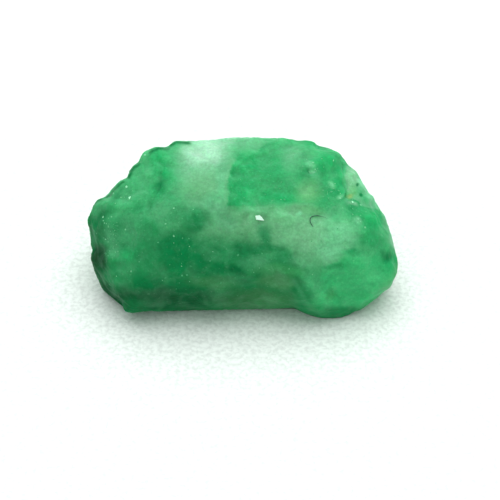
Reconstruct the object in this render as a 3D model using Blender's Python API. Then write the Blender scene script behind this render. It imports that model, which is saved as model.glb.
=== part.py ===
"""A raw emerald crystal: a worn, six-sided beryl prism with broken ends and a toe grown onto one corner.

It is one solid. Its long axis lies along X, it rests on a flat worn prism face at Z = 0, and
its front is at -Y. Shapes are worked out in millimetres round the middle of the crystal, and
turned into metres when the mesh is made.
"""

import math
import random
from collections import namedtuple

import bmesh
import bpy
import numpy as np
from mathutils import Vector, noise

MM = 0.001

# Driving dimensions, in millimetres.
MIDDLE_HEIGHT = 3.0  # from the bench to the middle of the crystal
HALF_SIZES = (7.0, 3.6, 3.0)  # along X, Y and Z
FRONT_BULGE = 3.6  # how far the crystal swells out of its outline plane, at the front
BACK_BULGE = 3.75
BULGE_POWER = 2.4  # 2 is an ellipse, more is boxier
EDGE_SHARPNESS = 9  # the higher, the crisper the edges between the main faces
FACE_WANDER = (0.85, 0.055)  # size and strength of the waves that bend the main faces' edges
TOE_JOIN = 14  # the higher, the sharper the crease where the toe meets the prism
TOE_FADE = 0.25  # the higher, the more gently the toe rises out of the prism; 0 is a steep wall

# The crystal's largest outline lies in a plane that leans back 45 degrees from the bench.
# In it, u runs along X and v runs up the slope; w stands out of it, towards the upper front.
U_AXIS = np.array([1.0, 0.0, 0.0])
V_AXIS = np.array([0.0, 1.0, 1.0]) / math.sqrt(2)
W_AXIS = np.array([0.0, -1.0, 1.0]) / math.sqrt(2)
OUTLINE_UV = [
    (-7.05, 0.30), (-7.00, 0.45), (-6.85, 0.80), (-6.75, 1.12), (-6.55, 1.36), (-6.40, 1.37),
    (-6.10, 1.60), (-5.80, 1.90), (-5.57, 2.14), (-5.23, 2.28), (-5.10, 2.62), (-4.95, 2.84),
    (-4.71, 3.00), (-4.64, 3.20), (-4.50, 3.40), (-4.05, 3.65), (-3.83, 3.72), (-3.63, 3.67),
    (-3.46, 3.67), (-3.13, 3.92), (-2.98, 3.98), (-2.50, 3.96), (-1.50, 4.00), (-1.00, 4.03),
    (-0.80, 4.08), (-0.40, 4.10), (0.60, 4.12), (1.70, 4.10), (2.05, 4.07), (2.25, 4.02),
    (2.50, 3.98), (2.75, 4.00), (3.00, 3.97), (3.22, 3.90), (3.45, 3.75), (3.87, 3.65),
    (4.33, 3.45), (4.48, 3.30), (4.70, 2.93), (5.03, 2.66), (5.18, 2.50), (5.28, 2.28),
    (5.71, 1.61), (5.91, 1.44), (6.01, 1.22), (6.26, 0.79), (6.43, 0.59), (6.51, 0.34),
    (6.73, -0.31), (6.85, -0.83), (6.99, -1.44), (7.00, -1.79), (6.95, -2.14), (6.63, -2.72),
    (6.40, -2.87), (6.03, -3.20), (5.45, -3.65), (4.85, -3.93), (4.50, -4.08), (4.00, -4.15),
    (3.50, -4.13), (3.14, -4.04), (2.80, -3.93), (2.58, -3.80), (2.38, -3.70), (1.60, -3.67),
    (0.00, -3.69), (-1.95, -3.75), (-4.60, -3.84), (-5.03, -3.90), (-5.30, -3.84),
    (-5.54, -3.52), (-6.25, -2.94), (-6.40, -2.79), (-6.77, -1.96), (-6.90, -1.45),
    (-6.92, -1.20), (-6.85, -0.98), (-6.94, -0.50), (-7.00, 0.00),
]
FIT_OVAL = (7.0, 4.0)  # the steps below are even round an oval with these half sizes
FIT_SLOTS = 320  # steps round the outline at which the crystal is stretched to meet it
FIT_EVENED = 3  # steps over which that stretch is evened out
FIT_INNER = 0.35  # nearer the middle than this share of the outline, nothing is stretched

# The main flat faces. swing is degrees round the vertical from the front towards +X, lean is
# degrees above the horizon, and distance is from the middle of the crystal.
Face = namedtuple("Face", "name swing lean distance")
FACES = [
    Face("prism_top", 0, 84, 3.02),
    Face("prism_front_upper", -4, 34, 3.02),
    Face("prism_front_middle", 3, 2, 3.30),
    Face("prism_front_lower", 2, -30, 3.60),
    Face("prism_back_upper", 184, 21, 3.95),
    Face("prism_back_lower", 177, -14, 3.90),
    Face("prism_back_foot", 180, -51, 3.85),
    Face("resting", 0, -90, 3.22),
    Face("left_end", -80, 12, 7.3),
    Face("left_end_back", -128, -8, 6.3),
    Face("left_shoulder", -52, 46, 4.95),
    Face("left_foot", -50, -4, 5.55),
    Face("right_end", 82, 12, 7.5),
    Face("right_slope", 60, 50, 5.35),
    Face("right_end_back", 132, 12, 6.4),
]

# The toe grown onto the lower right front corner, an egg shape that stands out of the prism.
TOE_MIDDLE_UVW = (4.60, -1.85, 0.00)
TOE_HALF_SIZES = (2.50, 2.25, 2.72)

# Hollows where flakes have broken off: a ball of this radius bites this deep.
Scoop = namedtuple("Scoop", "name swing lean radius bite")
SCOOPS = [
    Scoop("back_big", 205, 14, 7.5, 0.50),
    Scoop("back_right", 150, 34, 5.0, 0.30),
    Scoop("left_end_low", -104, -16, 4.0, 0.30),
    Scoop("right_end_high", 100, 24, 4.0, 0.28),
    Scoop("front_left", -52, 26, 7.0, 0.26),
    Scoop("front_lens", 4, 4, 6.0, 0.16),
    Scoop("front_right", 38, 30, 8.0, 0.20),
    Scoop("under_front", -16, -42, 6.0, 0.22),
    Scoop("top_back", 170, 62, 6.5, 0.22),
]
SCOOP_WARP = (1.3, 0.20)  # size and height of the waves that break a scoop's round edge

# Marks on the face to the front (side 1) or the back (side -1), placed by their u and v.
# A step's floor drops behind its crisp edge, which is the first crisp_count of its corners, and
# rises again to nothing over the fade, or over STEP_FOOT at its other edges.
STEP_FOOT = 0.9
Step = namedtuple("Step", "name side drop edge fade crisp_count corners")
STEPS = [
    Step("top_flake", 1, 0.08, 0.14, 3.0, 8, [
        (-0.78, 0.20), (-0.63, 1.72), (-0.50, 2.53), (-0.18, 2.98), (0.23, 3.20), (0.86, 3.39),
        (1.45, 3.66), (2.20, 4.60), (6.00, 4.60), (4.00, 0.10),
    ]),
    Step("right_slope_flake", 1, 0.16, 0.16, 1.8, 4, [
        (4.66, 3.40), (4.58, 2.60), (4.62, 1.90), (4.70, 1.20), (6.00, -0.60), (8.00, 1.20),
        (6.80, 4.60),
    ]),
    Step("left_rim", 1, 0.07, 0.30, 1.4, 4, [
        (-5.70, 1.75), (-6.15, 0.60), (-6.30, -0.60), (-6.42, -1.60), (-8.80, -3.40), (-8.80, 3.50),
    ]),
    Step("back_ledge", -1, 0.34, 0.22, 3.6, 6, [
        (-7.80, 0.60), (-4.20, 0.90), (-2.60, 0.20), (-1.30, 0.60), (-0.20, -0.30), (0.40, -1.60),
        (-0.40, -6.00), (-7.80, -6.00),
    ]),
    Step("back_flake", -1, 0.22, 0.18, 2.2, 4, [
        (1.70, 4.20), (1.80, 2.60), (2.90, 1.60), (4.60, 1.90), (7.50, 4.20), (4.60, 6.60),
    ]),
]
Groove = namedtuple("Groove", "name side depth width line")
GROOVES = [
    Groove("toe_crease", 1, 0.08, 0.36, [(3.15, -3.90), (2.72, -3.00), (2.40, -2.50)]),
    Groove("shoulder_crack", 1, 0.06, 0.14, [
        (-3.90, 3.40), (-3.60, 2.60), (-3.75, 1.90), (-4.15, 0.90),
    ]),
    Groove("slope_foot", 1, 0.10, 0.16, [(4.55, 2.80), (4.58, 1.90), (4.68, 1.38)]),
    Groove("belly_line", 1, 0.05, 0.20, [(-2.4, -1.9), (-0.9, -2.3), (0.6, -2.5), (1.9, -2.2)]),
    Groove("back_crack", -1, 0.10, 0.16, [
        (-4.80, 2.90), (-3.20, 1.80), (-1.40, 2.10), (0.60, 1.20), (2.20, 1.50),
    ]),
]
Pit = namedtuple("Pit", "name side depth radius u v")
PITS = [
    Pit("sparkling_pit", 1, 0.16, 0.28, 3.05, 2.55),
    Pit("stained_pit", 1, 0.14, 0.20, 4.66, 1.42),
    Pit("slope_pit_high", 1, 0.07, 0.11, 4.97, 2.10),
    Pit("slope_pit_low", 1, 0.06, 0.11, 5.12, 1.55),
    Pit("left_pit", 1, 0.07, 0.22, -5.95, -0.55),
    Pit("back_pit", -1, 0.14, 0.35, 3.40, -0.60),
    Pit("back_pit_small", -1, 0.10, 0.20, -2.90, 3.00),
]

MARK_WANDER = 0.12  # how far the marks' edges stray from their lines
MARK_RIM = (-0.1, 0.5)  # the marks fade between these heights above the outline plane

CHIP_SEED = 11
CHIP_COUNT = 170
CHIP_WANDER = (0.12, 0.02)  # size and height of the waves in a chip's face
CHIP_BITES = (0.02, 0.14)  # how much the small flat chips take off the swell

RELIEF = [(2.6, 0.30), (1.2, 0.13), (0.55, 0.06), (0.26, 0.022)]  # (size of the lumps, height)
HACKLE = [(0.5, 0.06)]  # (size of the shallow scallops between sharp ridges, depth)

SPHERE_SPLITS = 7
TRIANGLES = 8200


def unit(swing, lean):
    """The direction that a face with this swing and lean looks in."""
    s, e = math.radians(swing), math.radians(lean)
    return np.array([math.sin(s) * math.cos(e), -math.cos(s) * math.cos(e), math.sin(e)])


def waves(points, size):
    """A smooth random height from about -1 to 1 at each point, in lumps of this size."""
    return np.array([noise.noise(Vector(p) / size) for p in points])


def outline_reach(turn):
    """How far the outline is from the middle, at each angle round its plane."""
    corners = np.array(OUTLINE_UV)
    corners = corners[np.argsort(np.arctan2(corners[:, 1], corners[:, 0]))]
    angles = np.arctan2(corners[:, 1], corners[:, 0])
    first = np.searchsorted(angles, turn) - 1
    start, end = corners[first], corners[(first + 1) % len(corners)]
    side = end - start
    ray = np.stack([np.cos(turn), np.sin(turn)], axis=1)
    return np.cross(start, side) / np.cross(ray, side)


def body_reach(directions):
    """How far the body's surface is from the middle, along each direction."""
    u, v, w = (directions @ axis for axis in (U_AXIS, V_AXIS, W_AXIS))
    flat = np.hypot(u, v) / outline_reach(np.arctan2(v, u))
    bulge = np.where(w > 0, FRONT_BULGE, BACK_BULGE)
    swell = (flat**BULGE_POWER + (np.abs(w) / bulge) ** BULGE_POWER) ** (1 / BULGE_POWER)
    crowding = swell**EDGE_SHARPNESS
    size, strength = FACE_WANDER
    wander = [waves(directions + shift, size) * strength for shift in (3, 7, 11)]
    astray = directions + np.stack(wander, axis=1)
    for face in FACES:
        facing = np.maximum(astray @ unit(face.swing, face.lean), 1e-6)
        crowding = crowding + (facing / face.distance) ** EDGE_SHARPNESS
    return crowding ** (-1 / EDGE_SHARPNESS)


def toe_reach(directions):
    """How far the toe's far side is from the middle, or nothing where a ray misses it."""
    uvw = np.stack([directions @ axis for axis in (U_AXIS, V_AXIS, W_AXIS)], axis=1)
    ray = uvw / np.array(TOE_HALF_SIZES)
    centre = np.array(TOE_MIDDLE_UVW) / np.array(TOE_HALF_SIZES)
    a, b = (ray * ray).sum(1), ray @ centre
    inside = np.maximum(b * b - a * (centre @ centre - 1), 0)
    return ramp(inside / (b * b), 0, TOE_FADE) * (b + np.sqrt(inside)) / a


def scooped(points, directions, scoop):
    """The points, with those inside the scoop's ball moved back to its near side."""
    looking = unit(scoop.swing, scoop.lean)
    nearest = np.argmax(points @ looking)
    middle = points[nearest] + looking * (scoop.radius - scoop.bite)
    along = directions @ middle
    inside = along**2 - (middle @ middle - scoop.radius**2)
    near = along - np.sqrt(np.maximum(inside, 0)) + waves(points, SCOOP_WARP[0]) * SCOOP_WARP[1]
    reach = np.linalg.norm(points, axis=1)
    cut = (inside > 0) & (near < reach) & (near > 0)
    return np.where(cut[:, None], directions * near[:, None], points)


def line_distance(uv, start, end):
    """How far each point of the outline plane is from a straight line."""
    start, side = np.array(start), np.array(end) - np.array(start)
    share = np.clip((uv - start) @ side / (side @ side), 0, 1)
    return np.linalg.norm(uv - start - share[:, None] * side, axis=1)


def path_distance(uv, line):
    """How far each point of the outline plane is from a line of several straight stretches."""
    return np.min([line_distance(uv, a, b) for a, b in zip(line, line[1:])], axis=0)


def ramp(value, low, high):
    """0 below low and 1 above high, with a smooth rise between them."""
    share = np.clip((value - low) / (high - low), 0, 1)
    return share * share * (3 - 2 * share)


def within(uv, corners):
    """How far each point is inside a closed outline, and below nought outside it."""
    around = corners + corners[:1]
    distance = path_distance(uv, around)
    crossings = np.zeros(len(uv), int)
    for (u0, v0), (u1, v1) in zip(corners, around[1:]):
        spans = (v0 > uv[:, 1]) != (v1 > uv[:, 1])
        where = u0 + (uv[:, 1] - v0) * (u1 - u0) / (v1 - v0 if v1 != v0 else 1)
        crossings += spans & (uv[:, 0] < where)
    return np.where(crossings % 2 == 1, distance, -distance)


def step_cover(uv, step):
    """The share of its full drop that a step has at each point."""
    crisp = path_distance(uv, step.corners[: step.crisp_count])
    soft = path_distance(uv, step.corners[step.crisp_count - 1 :] + step.corners[:1])
    rise = ramp(crisp, 0, step.edge) * ramp(soft, 0, STEP_FOOT)
    return (within(uv, step.corners) > 0) * rise * (1 - ramp(crisp, step.edge, step.fade))


def marked(points, directions):
    """The points, with the steps, grooves and pits cut into the surface."""
    uv = np.stack([points @ U_AXIS, points @ V_AXIS], axis=1)
    uv = uv + np.stack([waves(points + 9, 0.6), waves(points - 9, 0.6)], axis=1) * MARK_WANDER
    w = points @ W_AXIS
    depth = np.zeros(len(points))
    for step in STEPS:
        depth += step.drop * step_cover(uv, step) * ramp(w * step.side, *MARK_RIM)
    for groove in GROOVES:
        near = 1 - ramp(path_distance(uv, groove.line), 0, groove.width)
        depth += groove.depth * near * ramp(w * groove.side, *MARK_RIM)
    for pit in PITS:
        near = 1 - ramp(np.hypot(uv[:, 0] - pit.u, uv[:, 1] - pit.v), 0, pit.radius)
        depth += pit.depth * near * ramp(w * pit.side, *MARK_RIM)
    return points - directions * depth[:, None]


def fitted(points):
    """The points, stretched within the outline plane until the crystal's rim meets the outline."""
    u, v, w = (points @ axis for axis in (U_AXIS, V_AXIS, W_AXIS))
    along, up = FIT_OVAL
    turn, spread = np.arctan2(v / up, u / along), np.hypot(u, v)
    slot = ((turn / (2 * math.pi) + 0.5) * FIT_SLOTS).astype(int) % FIT_SLOTS
    widest = np.zeros(FIT_SLOTS)
    np.maximum.at(widest, slot, spread)
    middles = ((np.arange(FIT_SLOTS) + 0.5) / FIT_SLOTS - 0.5) * 2 * math.pi
    met = widest > 0
    widest = np.interp(middles, middles[met], widest[met], period=2 * math.pi)
    wanted = outline_reach(np.arctan2(up * np.sin(middles), along * np.cos(middles))) / widest
    steps = range(-(FIT_EVENED // 2), FIT_EVENED // 2 + 1)
    wanted = np.mean([np.roll(wanted, step) for step in steps], axis=0)
    stretch = np.interp(turn, middles, wanted, period=2 * math.pi) - 1
    rim = np.interp(turn, middles, widest, period=2 * math.pi)
    stretch = 1 + stretch * ramp(spread / rim, FIT_INNER, 1)
    return (
        (u * stretch)[:, None] * U_AXIS + (v * stretch)[:, None] * V_AXIS + w[:, None] * W_AXIS
    )


def chipped(points, directions):
    """The points, with small flat chips struck off wherever the surface swells."""
    chooser = random.Random(CHIP_SEED)
    reach = np.linalg.norm(points, axis=1)
    size, strength = CHIP_WANDER
    astray = directions + np.stack([waves(directions + k, size) for k in (2, 5, 8)], axis=1) * strength
    for _ in range(CHIP_COUNT):
        looking = unit(chooser.uniform(0, 360), math.degrees(math.asin(chooser.uniform(-0.95, 1))))
        distance = (points @ looking).max() - chooser.uniform(*CHIP_BITES)
        facing = np.maximum(astray @ looking, 1e-6)
        reach = np.minimum(reach, distance / facing)
    return directions * reach[:, None]


def roughened(points, directions):
    """The points, with the crystal's larger lumps and hollows."""
    heights = sum(height * waves(points, size) for size, height in RELIEF)
    for size, depth in HACKLE:
        heights = heights - depth * np.abs(waves(points + 20, size))
    return points + directions * heights[:, None]


def crystal_points(directions):
    """Where the crystal's surface is along each direction from its middle."""
    body, toe = body_reach(directions), toe_reach(directions)
    points = directions * ((body**TOE_JOIN + toe**TOE_JOIN) ** (1 / TOE_JOIN))[:, None]
    for scoop in SCOOPS:
        points = scooped(points, directions, scoop)
    points = fitted(roughened(chipped(points, directions), directions))
    return fitted(marked(points, directions))


def ball():
    """A finely divided ball, to be drawn out into the crystal."""
    mesh = bmesh.new()
    bmesh.ops.create_icosphere(mesh, subdivisions=SPHERE_SPLITS, radius=1.0)
    return mesh


def new_object(name, mesh, collection):
    """A mesh object made from a bmesh, which is freed."""
    data = bpy.data.meshes.new(name)
    mesh.to_mesh(data)
    mesh.free()
    made = bpy.data.objects.new(name, data)
    collection.objects.link(made)
    return made


def shape(mesh):
    """Moves the ball's points onto the crystal's surface, with the bench at Z = 0."""
    places = np.array([vert.co for vert in mesh.verts]) * np.array(HALF_SIZES)
    directions = places / np.linalg.norm(places, axis=1)[:, None]
    for vert, point in zip(mesh.verts, crystal_points(directions)):
        vert.co = (Vector(point) + Vector((0, 0, MIDDLE_HEIGHT))) * MM


def thinned(rough, triangles):
    """A bmesh of the object with about this many triangles, kept where the surface bends."""
    decimate = rough.modifiers.new("thin", "DECIMATE")
    decimate.ratio = triangles / len(rough.data.polygons)
    bpy.context.view_layer.update()
    data = bpy.data.meshes.new_from_object(
        rough.evaluated_get(bpy.context.evaluated_depsgraph_get())
    )
    mesh = bmesh.new()
    mesh.from_mesh(data)
    bpy.data.meshes.remove(data)
    return mesh


def stand(mesh):
    """Cuts the worn resting face flat at Z = 0 and centres the crystal over the origin."""
    everything = mesh.verts[:] + mesh.edges[:] + mesh.faces[:]
    cut = bmesh.ops.bisect_plane(
        mesh, geom=everything, dist=1e-7, plane_co=(0, 0, 0), plane_no=(0, 0, -1), clear_outer=True
    )
    rim = [item for item in cut["geom_cut"] if isinstance(item, bmesh.types.BMEdge)]
    bmesh.ops.holes_fill(mesh, edges=rim, sides=0)
    bmesh.ops.dissolve_degenerate(mesh, dist=1e-6, edges=mesh.edges[:])
    bmesh.ops.recalc_face_normals(mesh, faces=mesh.faces[:])
    places = np.array([vert.co for vert in mesh.verts])
    middle = (places.min(axis=0) + places.max(axis=0)) / 2
    bmesh.ops.translate(mesh, verts=mesh.verts[:], vec=(-middle[0], -middle[1], 0))


def emerald_material():
    """A cloudy green beryl with a frosted, slightly glassy surface."""
    material = bpy.data.materials.new("emerald")
    material.use_nodes = True
    shader = material.node_tree.nodes["Principled BSDF"]
    shader.inputs["Base Color"].default_value = (0.045, 0.40, 0.14, 1.0)
    shader.inputs["Roughness"].default_value = 0.38
    shader.inputs["Metallic"].default_value = 0.0
    shader.inputs["IOR"].default_value = 1.58
    return material


def main():
    for old in list(bpy.data.objects):
        bpy.data.objects.remove(old)
    collection = bpy.data.collections.new("raw_emerald_crystal")
    bpy.context.scene.collection.children.link(collection)

    mesh = ball()
    shape(mesh)
    rough = new_object("rough_shape", mesh, collection)
    mesh = thinned(rough, TRIANGLES)
    bpy.data.objects.remove(rough)
    stand(mesh)
    crystal = new_object("emerald_crystal", mesh, collection)
    crystal.data.materials.append(emerald_material())


main()
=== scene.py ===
"""A raw emerald crystal lying on white paper in soft studio light.

The crystal is a worn beryl prism with chipped ends and a rounded toe grown onto its right front
corner. Its shape repeats the solid's own named values, in millimetres round the crystal's middle,
at a finer step: u runs along the crystal, v up the plane of its largest outline, and w stands out
of that plane, to the front. The clouds, zones and seams in the stone, the flakes and the fibre on
it are placed by pixels of the camera's frame, and the scene works out where on the stone they are.
"""

import logging
import math
import random
from dataclasses import dataclass, field
from enum import Enum

import bmesh
import bpy
import numpy as np
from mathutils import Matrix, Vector, kdtree, noise


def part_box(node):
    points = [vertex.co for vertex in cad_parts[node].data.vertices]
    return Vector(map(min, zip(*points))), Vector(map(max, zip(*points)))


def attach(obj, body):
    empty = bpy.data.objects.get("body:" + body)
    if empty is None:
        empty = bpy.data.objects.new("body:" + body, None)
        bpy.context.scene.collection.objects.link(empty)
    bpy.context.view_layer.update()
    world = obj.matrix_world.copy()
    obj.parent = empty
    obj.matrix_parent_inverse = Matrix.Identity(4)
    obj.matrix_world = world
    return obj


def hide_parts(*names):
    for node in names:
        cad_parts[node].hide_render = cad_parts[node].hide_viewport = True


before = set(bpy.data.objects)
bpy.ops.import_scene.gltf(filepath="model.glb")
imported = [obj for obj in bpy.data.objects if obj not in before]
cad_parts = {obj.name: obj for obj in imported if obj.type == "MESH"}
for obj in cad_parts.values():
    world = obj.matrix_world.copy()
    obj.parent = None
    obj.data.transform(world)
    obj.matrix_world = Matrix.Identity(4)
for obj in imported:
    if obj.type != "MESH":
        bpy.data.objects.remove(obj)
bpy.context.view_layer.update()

LOG = logging.getLogger("emerald")
BODY = "root"
NODE = "emerald_crystal"

MM = 0.001
U_AXIS = np.array([1.0, 0.0, 0.0])
V_AXIS = np.array([0.0, 1.0, 1.0]) / math.sqrt(2)
W_AXIS = np.array([0.0, -1.0, 1.0]) / math.sqrt(2)

Colour = tuple[float, float, float]
Sizes = tuple[float, float, float]
Spot = tuple[float, float]
Line = tuple[Spot, ...]
Range = tuple[float, float]
Wander = tuple[float, float]
Socket = bpy.types.NodeSocket
Value = Socket | float | tuple[float, ...]

WHOLE: Range = (0.0, 1.0)


class Side(Enum):
    """The half of the crystal that a ledge, a groove or a pit is on."""

    FRONT = 1
    BACK = -1


def unit(swing: float, lean: float) -> np.ndarray:
    """Gives the direction that a face looks in.

    Args:
        swing: Degrees round the vertical, from the front towards +X.
        lean: Degrees above the horizon.

    Returns:
        A direction of length 1.
    """
    turn, rise = math.radians(swing), math.radians(lean)
    level = math.cos(rise)
    return np.array([math.sin(turn) * level, -math.cos(turn) * level, math.sin(rise)])


def waves(points: np.ndarray, size: float) -> np.ndarray:
    """Gives a smooth random height at each point.

    Args:
        points: One row for each point.
        size: How large the waves' lumps are, in the points' own units.

    Returns:
        Heights from about -1 to 1.
    """
    return np.array([noise.noise(Vector(point) / size) for point in points])


def swayed(directions: np.ndarray, wander: Wander, shifts: tuple[float, ...]) -> np.ndarray:
    """Sways directions a little, so that a flat cut across them isn't quite flat.

    Args:
        directions: One direction in each row.
        wander: How large the waves' lumps are, and how far they sway.
        shifts: Where each of the three waves starts, so that no two are alike.

    Returns:
        The directions with the waves added.
    """
    size, strength = wander
    sway = [waves(directions + shift, size) * strength for shift in shifts]
    return directions + np.stack(sway, axis=1)


def ramp(value: np.ndarray, low: float, high: float) -> np.ndarray:
    """Rises smoothly from 0 at low to 1 at high.

    Args:
        value: The values to look up.
        low: Where the rise starts.
        high: Where it ends.

    Returns:
        A share from 0 to 1 for each value.
    """
    share = np.clip((value - low) / (high - low), 0, 1)
    return share * share * (3 - 2 * share)


def line_distance(uv: np.ndarray, start: Spot, end: Spot) -> np.ndarray:
    """Measures how far points of a plane are from a straight line.

    Args:
        uv: One row for each point.
        start: One end of the line.
        end: Its other end.

    Returns:
        The distance of each point.
    """
    first, side = np.array(start), np.array(end) - np.array(start)
    share = np.clip((uv - first) @ side / (side @ side), 0, 1)
    return np.linalg.norm(uv - first - share[:, None] * side, axis=1)


def path_distance(uv: np.ndarray, line: Line) -> np.ndarray:
    """Measures how far points of a plane are from a line of several straight stretches.

    Args:
        uv: One row for each point.
        line: The line's corners.

    Returns:
        The distance of each point.
    """
    return np.min([line_distance(uv, a, b) for a, b in zip(line, line[1:])], axis=0)


def within(uv: np.ndarray, corners: Line) -> np.ndarray:
    """Measures how far points of a plane are inside a closed outline.

    Args:
        uv: One row for each point.
        corners: The outline's corners.

    Returns:
        The distance to the outline, below nought for a point outside it.
    """
    around = corners + corners[:1]
    crossings = np.zeros(len(uv), int)
    for (u0, v0), (u1, v1) in zip(corners, around[1:]):
        spans = (v0 > uv[:, 1]) != (v1 > uv[:, 1])
        where = u0 + (uv[:, 1] - v0) * (u1 - u0) / (v1 - v0 if v1 != v0 else 1)
        crossings += spans & (uv[:, 0] < where)
    distance = path_distance(uv, around)
    return np.where(crossings % 2 == 1, distance, -distance)


def placed(name: str, mesh: bmesh.types.BMesh, material: bpy.types.Material) -> bpy.types.Object:
    """Turns a built mesh into an object of the scene.

    Args:
        name: What the object is called.
        mesh: The built mesh, which is used up.
        material: What it is made of.

    Returns:
        The object, in metres.
    """
    data = bpy.data.meshes.new(name)
    mesh.to_mesh(data)
    mesh.free()
    data.materials.append(material)
    made = bpy.data.objects.new(name, data)
    bpy.context.scene.collection.objects.link(made)
    return made


@dataclass(frozen=True)
class Face:
    """A flat face: where it looks, and how far it is from the crystal's middle."""

    name: str
    swing: float
    lean: float
    distance: float


@dataclass(frozen=True)
class Scoop:
    """A hollow where a flake broke off: a ball of this radius that bites this deep."""

    name: str
    swing: float
    lean: float
    radius: float
    bite: float


@dataclass(frozen=True)
class Step:
    """A ledge: the floor drops behind its crisp edge, the first of its corners, and rises again.

    It rises over the fade, or over the foot at its other edges.
    """

    name: str
    side: Side
    drop: float
    edge: float
    fade: float
    crisp_count: int
    corners: Line
    foot: float = 0.9

    def cover(self, uv: np.ndarray) -> np.ndarray:
        """Gives the share of its full drop that the ledge has at each point.

        Args:
            uv: The points, along u and up v.

        Returns:
            The shares, from 0 to 1.
        """
        crisp = path_distance(uv, self.corners[: self.crisp_count])
        soft = path_distance(uv, self.corners[self.crisp_count - 1 :] + self.corners[:1])
        rise = ramp(crisp, 0, self.edge) * ramp(soft, 0, self.foot)
        return (within(uv, self.corners) > 0) * rise * (1 - ramp(crisp, self.edge, self.fade))


@dataclass(frozen=True)
class Groove:
    """A crack or crease along a line."""

    name: str
    side: Side
    depth: float
    width: float
    line: Line


@dataclass(frozen=True)
class Pit:
    """A small round hollow."""

    name: str
    side: Side
    depth: float
    radius: float
    u: float
    v: float


FACES = (
    Face("prism_top", 0, 84, 3.02),
    Face("prism_front_upper", -4, 34, 3.02),
    Face("prism_front_middle", 3, 2, 3.30),
    Face("prism_front_lower", 2, -30, 3.60),
    Face("prism_back_upper", 184, 21, 3.95),
    Face("prism_back_lower", 177, -14, 3.90),
    Face("prism_back_foot", 180, -51, 3.85),
    Face("resting", 0, -90, 3.22),
    Face("left_end", -80, 12, 7.3),
    Face("left_end_back", -128, -8, 6.3),
    Face("left_shoulder", -52, 46, 4.95),
    Face("left_foot", -50, -4, 5.55),
    Face("right_end", 82, 12, 7.5),
    Face("right_slope", 60, 50, 5.35),
    Face("right_end_back", 132, 12, 6.4),
)
SCOOPS = (
    Scoop("back_big", 205, 14, 7.5, 0.50),
    Scoop("back_right", 150, 34, 5.0, 0.30),
    Scoop("left_end_low", -104, -16, 4.0, 0.30),
    Scoop("right_end_high", 100, 24, 4.0, 0.28),
    Scoop("front_left", -52, 26, 7.0, 0.26),
    Scoop("front_lens", 4, 4, 6.0, 0.16),
    Scoop("front_right", 38, 30, 8.0, 0.20),
    Scoop("under_front", -16, -42, 6.0, 0.22),
    Scoop("top_back", 170, 62, 6.5, 0.22),
)
STEPS = (
    Step("top_flake", Side.FRONT, 0.08, 0.14, 3.0, 8, (
        (-0.78, 0.20), (-0.63, 1.72), (-0.50, 2.53), (-0.18, 2.98), (0.23, 3.20), (0.86, 3.39),
        (1.45, 3.66), (2.20, 4.60), (6.00, 4.60), (4.00, 0.10),
    )),
    Step("right_slope_flake", Side.FRONT, 0.16, 0.16, 1.8, 4, (
        (4.66, 3.40), (4.58, 2.60), (4.62, 1.90), (4.70, 1.20), (6.00, -0.60), (8.00, 1.20),
        (6.80, 4.60),
    )),
    Step("left_rim", Side.FRONT, 0.07, 0.30, 1.4, 4, (
        (-5.70, 1.75), (-6.15, 0.60), (-6.30, -0.60), (-6.42, -1.60), (-8.80, -3.40), (-8.80, 3.50),
    )),
    Step("back_ledge", Side.BACK, 0.34, 0.22, 3.6, 6, (
        (-7.80, 0.60), (-4.20, 0.90), (-2.60, 0.20), (-1.30, 0.60), (-0.20, -0.30), (0.40, -1.60),
        (-0.40, -6.00), (-7.80, -6.00),
    )),
    Step("back_flake", Side.BACK, 0.22, 0.18, 2.2, 4, (
        (1.70, 4.20), (1.80, 2.60), (2.90, 1.60), (4.60, 1.90), (7.50, 4.20), (4.60, 6.60),
    )),
)
GROOVES = (
    Groove("toe_crease", Side.FRONT, 0.08, 0.36, ((3.15, -3.90), (2.72, -3.00), (2.40, -2.50))),
    Groove("shoulder_crack", Side.FRONT, 0.06, 0.14, (
        (-3.90, 3.40), (-3.60, 2.60), (-3.75, 1.90), (-4.15, 0.90),
    )),
    Groove("slope_foot", Side.FRONT, 0.10, 0.16, ((4.55, 2.80), (4.58, 1.90), (4.68, 1.38))),
    Groove("belly_line", Side.FRONT, 0.05, 0.20, (
        (-2.4, -1.9), (-0.9, -2.3), (0.6, -2.5), (1.9, -2.2),
    )),
    Groove("back_crack", Side.BACK, 0.10, 0.16, (
        (-4.80, 2.90), (-3.20, 1.80), (-1.40, 2.10), (0.60, 1.20), (2.20, 1.50),
    )),
)
PITS = (
    Pit("sparkling_pit", Side.FRONT, 0.16, 0.28, 3.05, 2.55),
    Pit("stained_pit", Side.FRONT, 0.14, 0.20, 4.66, 1.42),
    Pit("slope_pit_high", Side.FRONT, 0.07, 0.11, 4.97, 2.10),
    Pit("slope_pit_low", Side.FRONT, 0.06, 0.11, 5.12, 1.55),
    Pit("left_pit", Side.FRONT, 0.07, 0.22, -5.95, -0.55),
    Pit("back_pit", Side.BACK, 0.14, 0.35, 3.40, -0.60),
    Pit("back_pit_small", Side.BACK, 0.10, 0.20, -2.90, 3.00),
)
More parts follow.
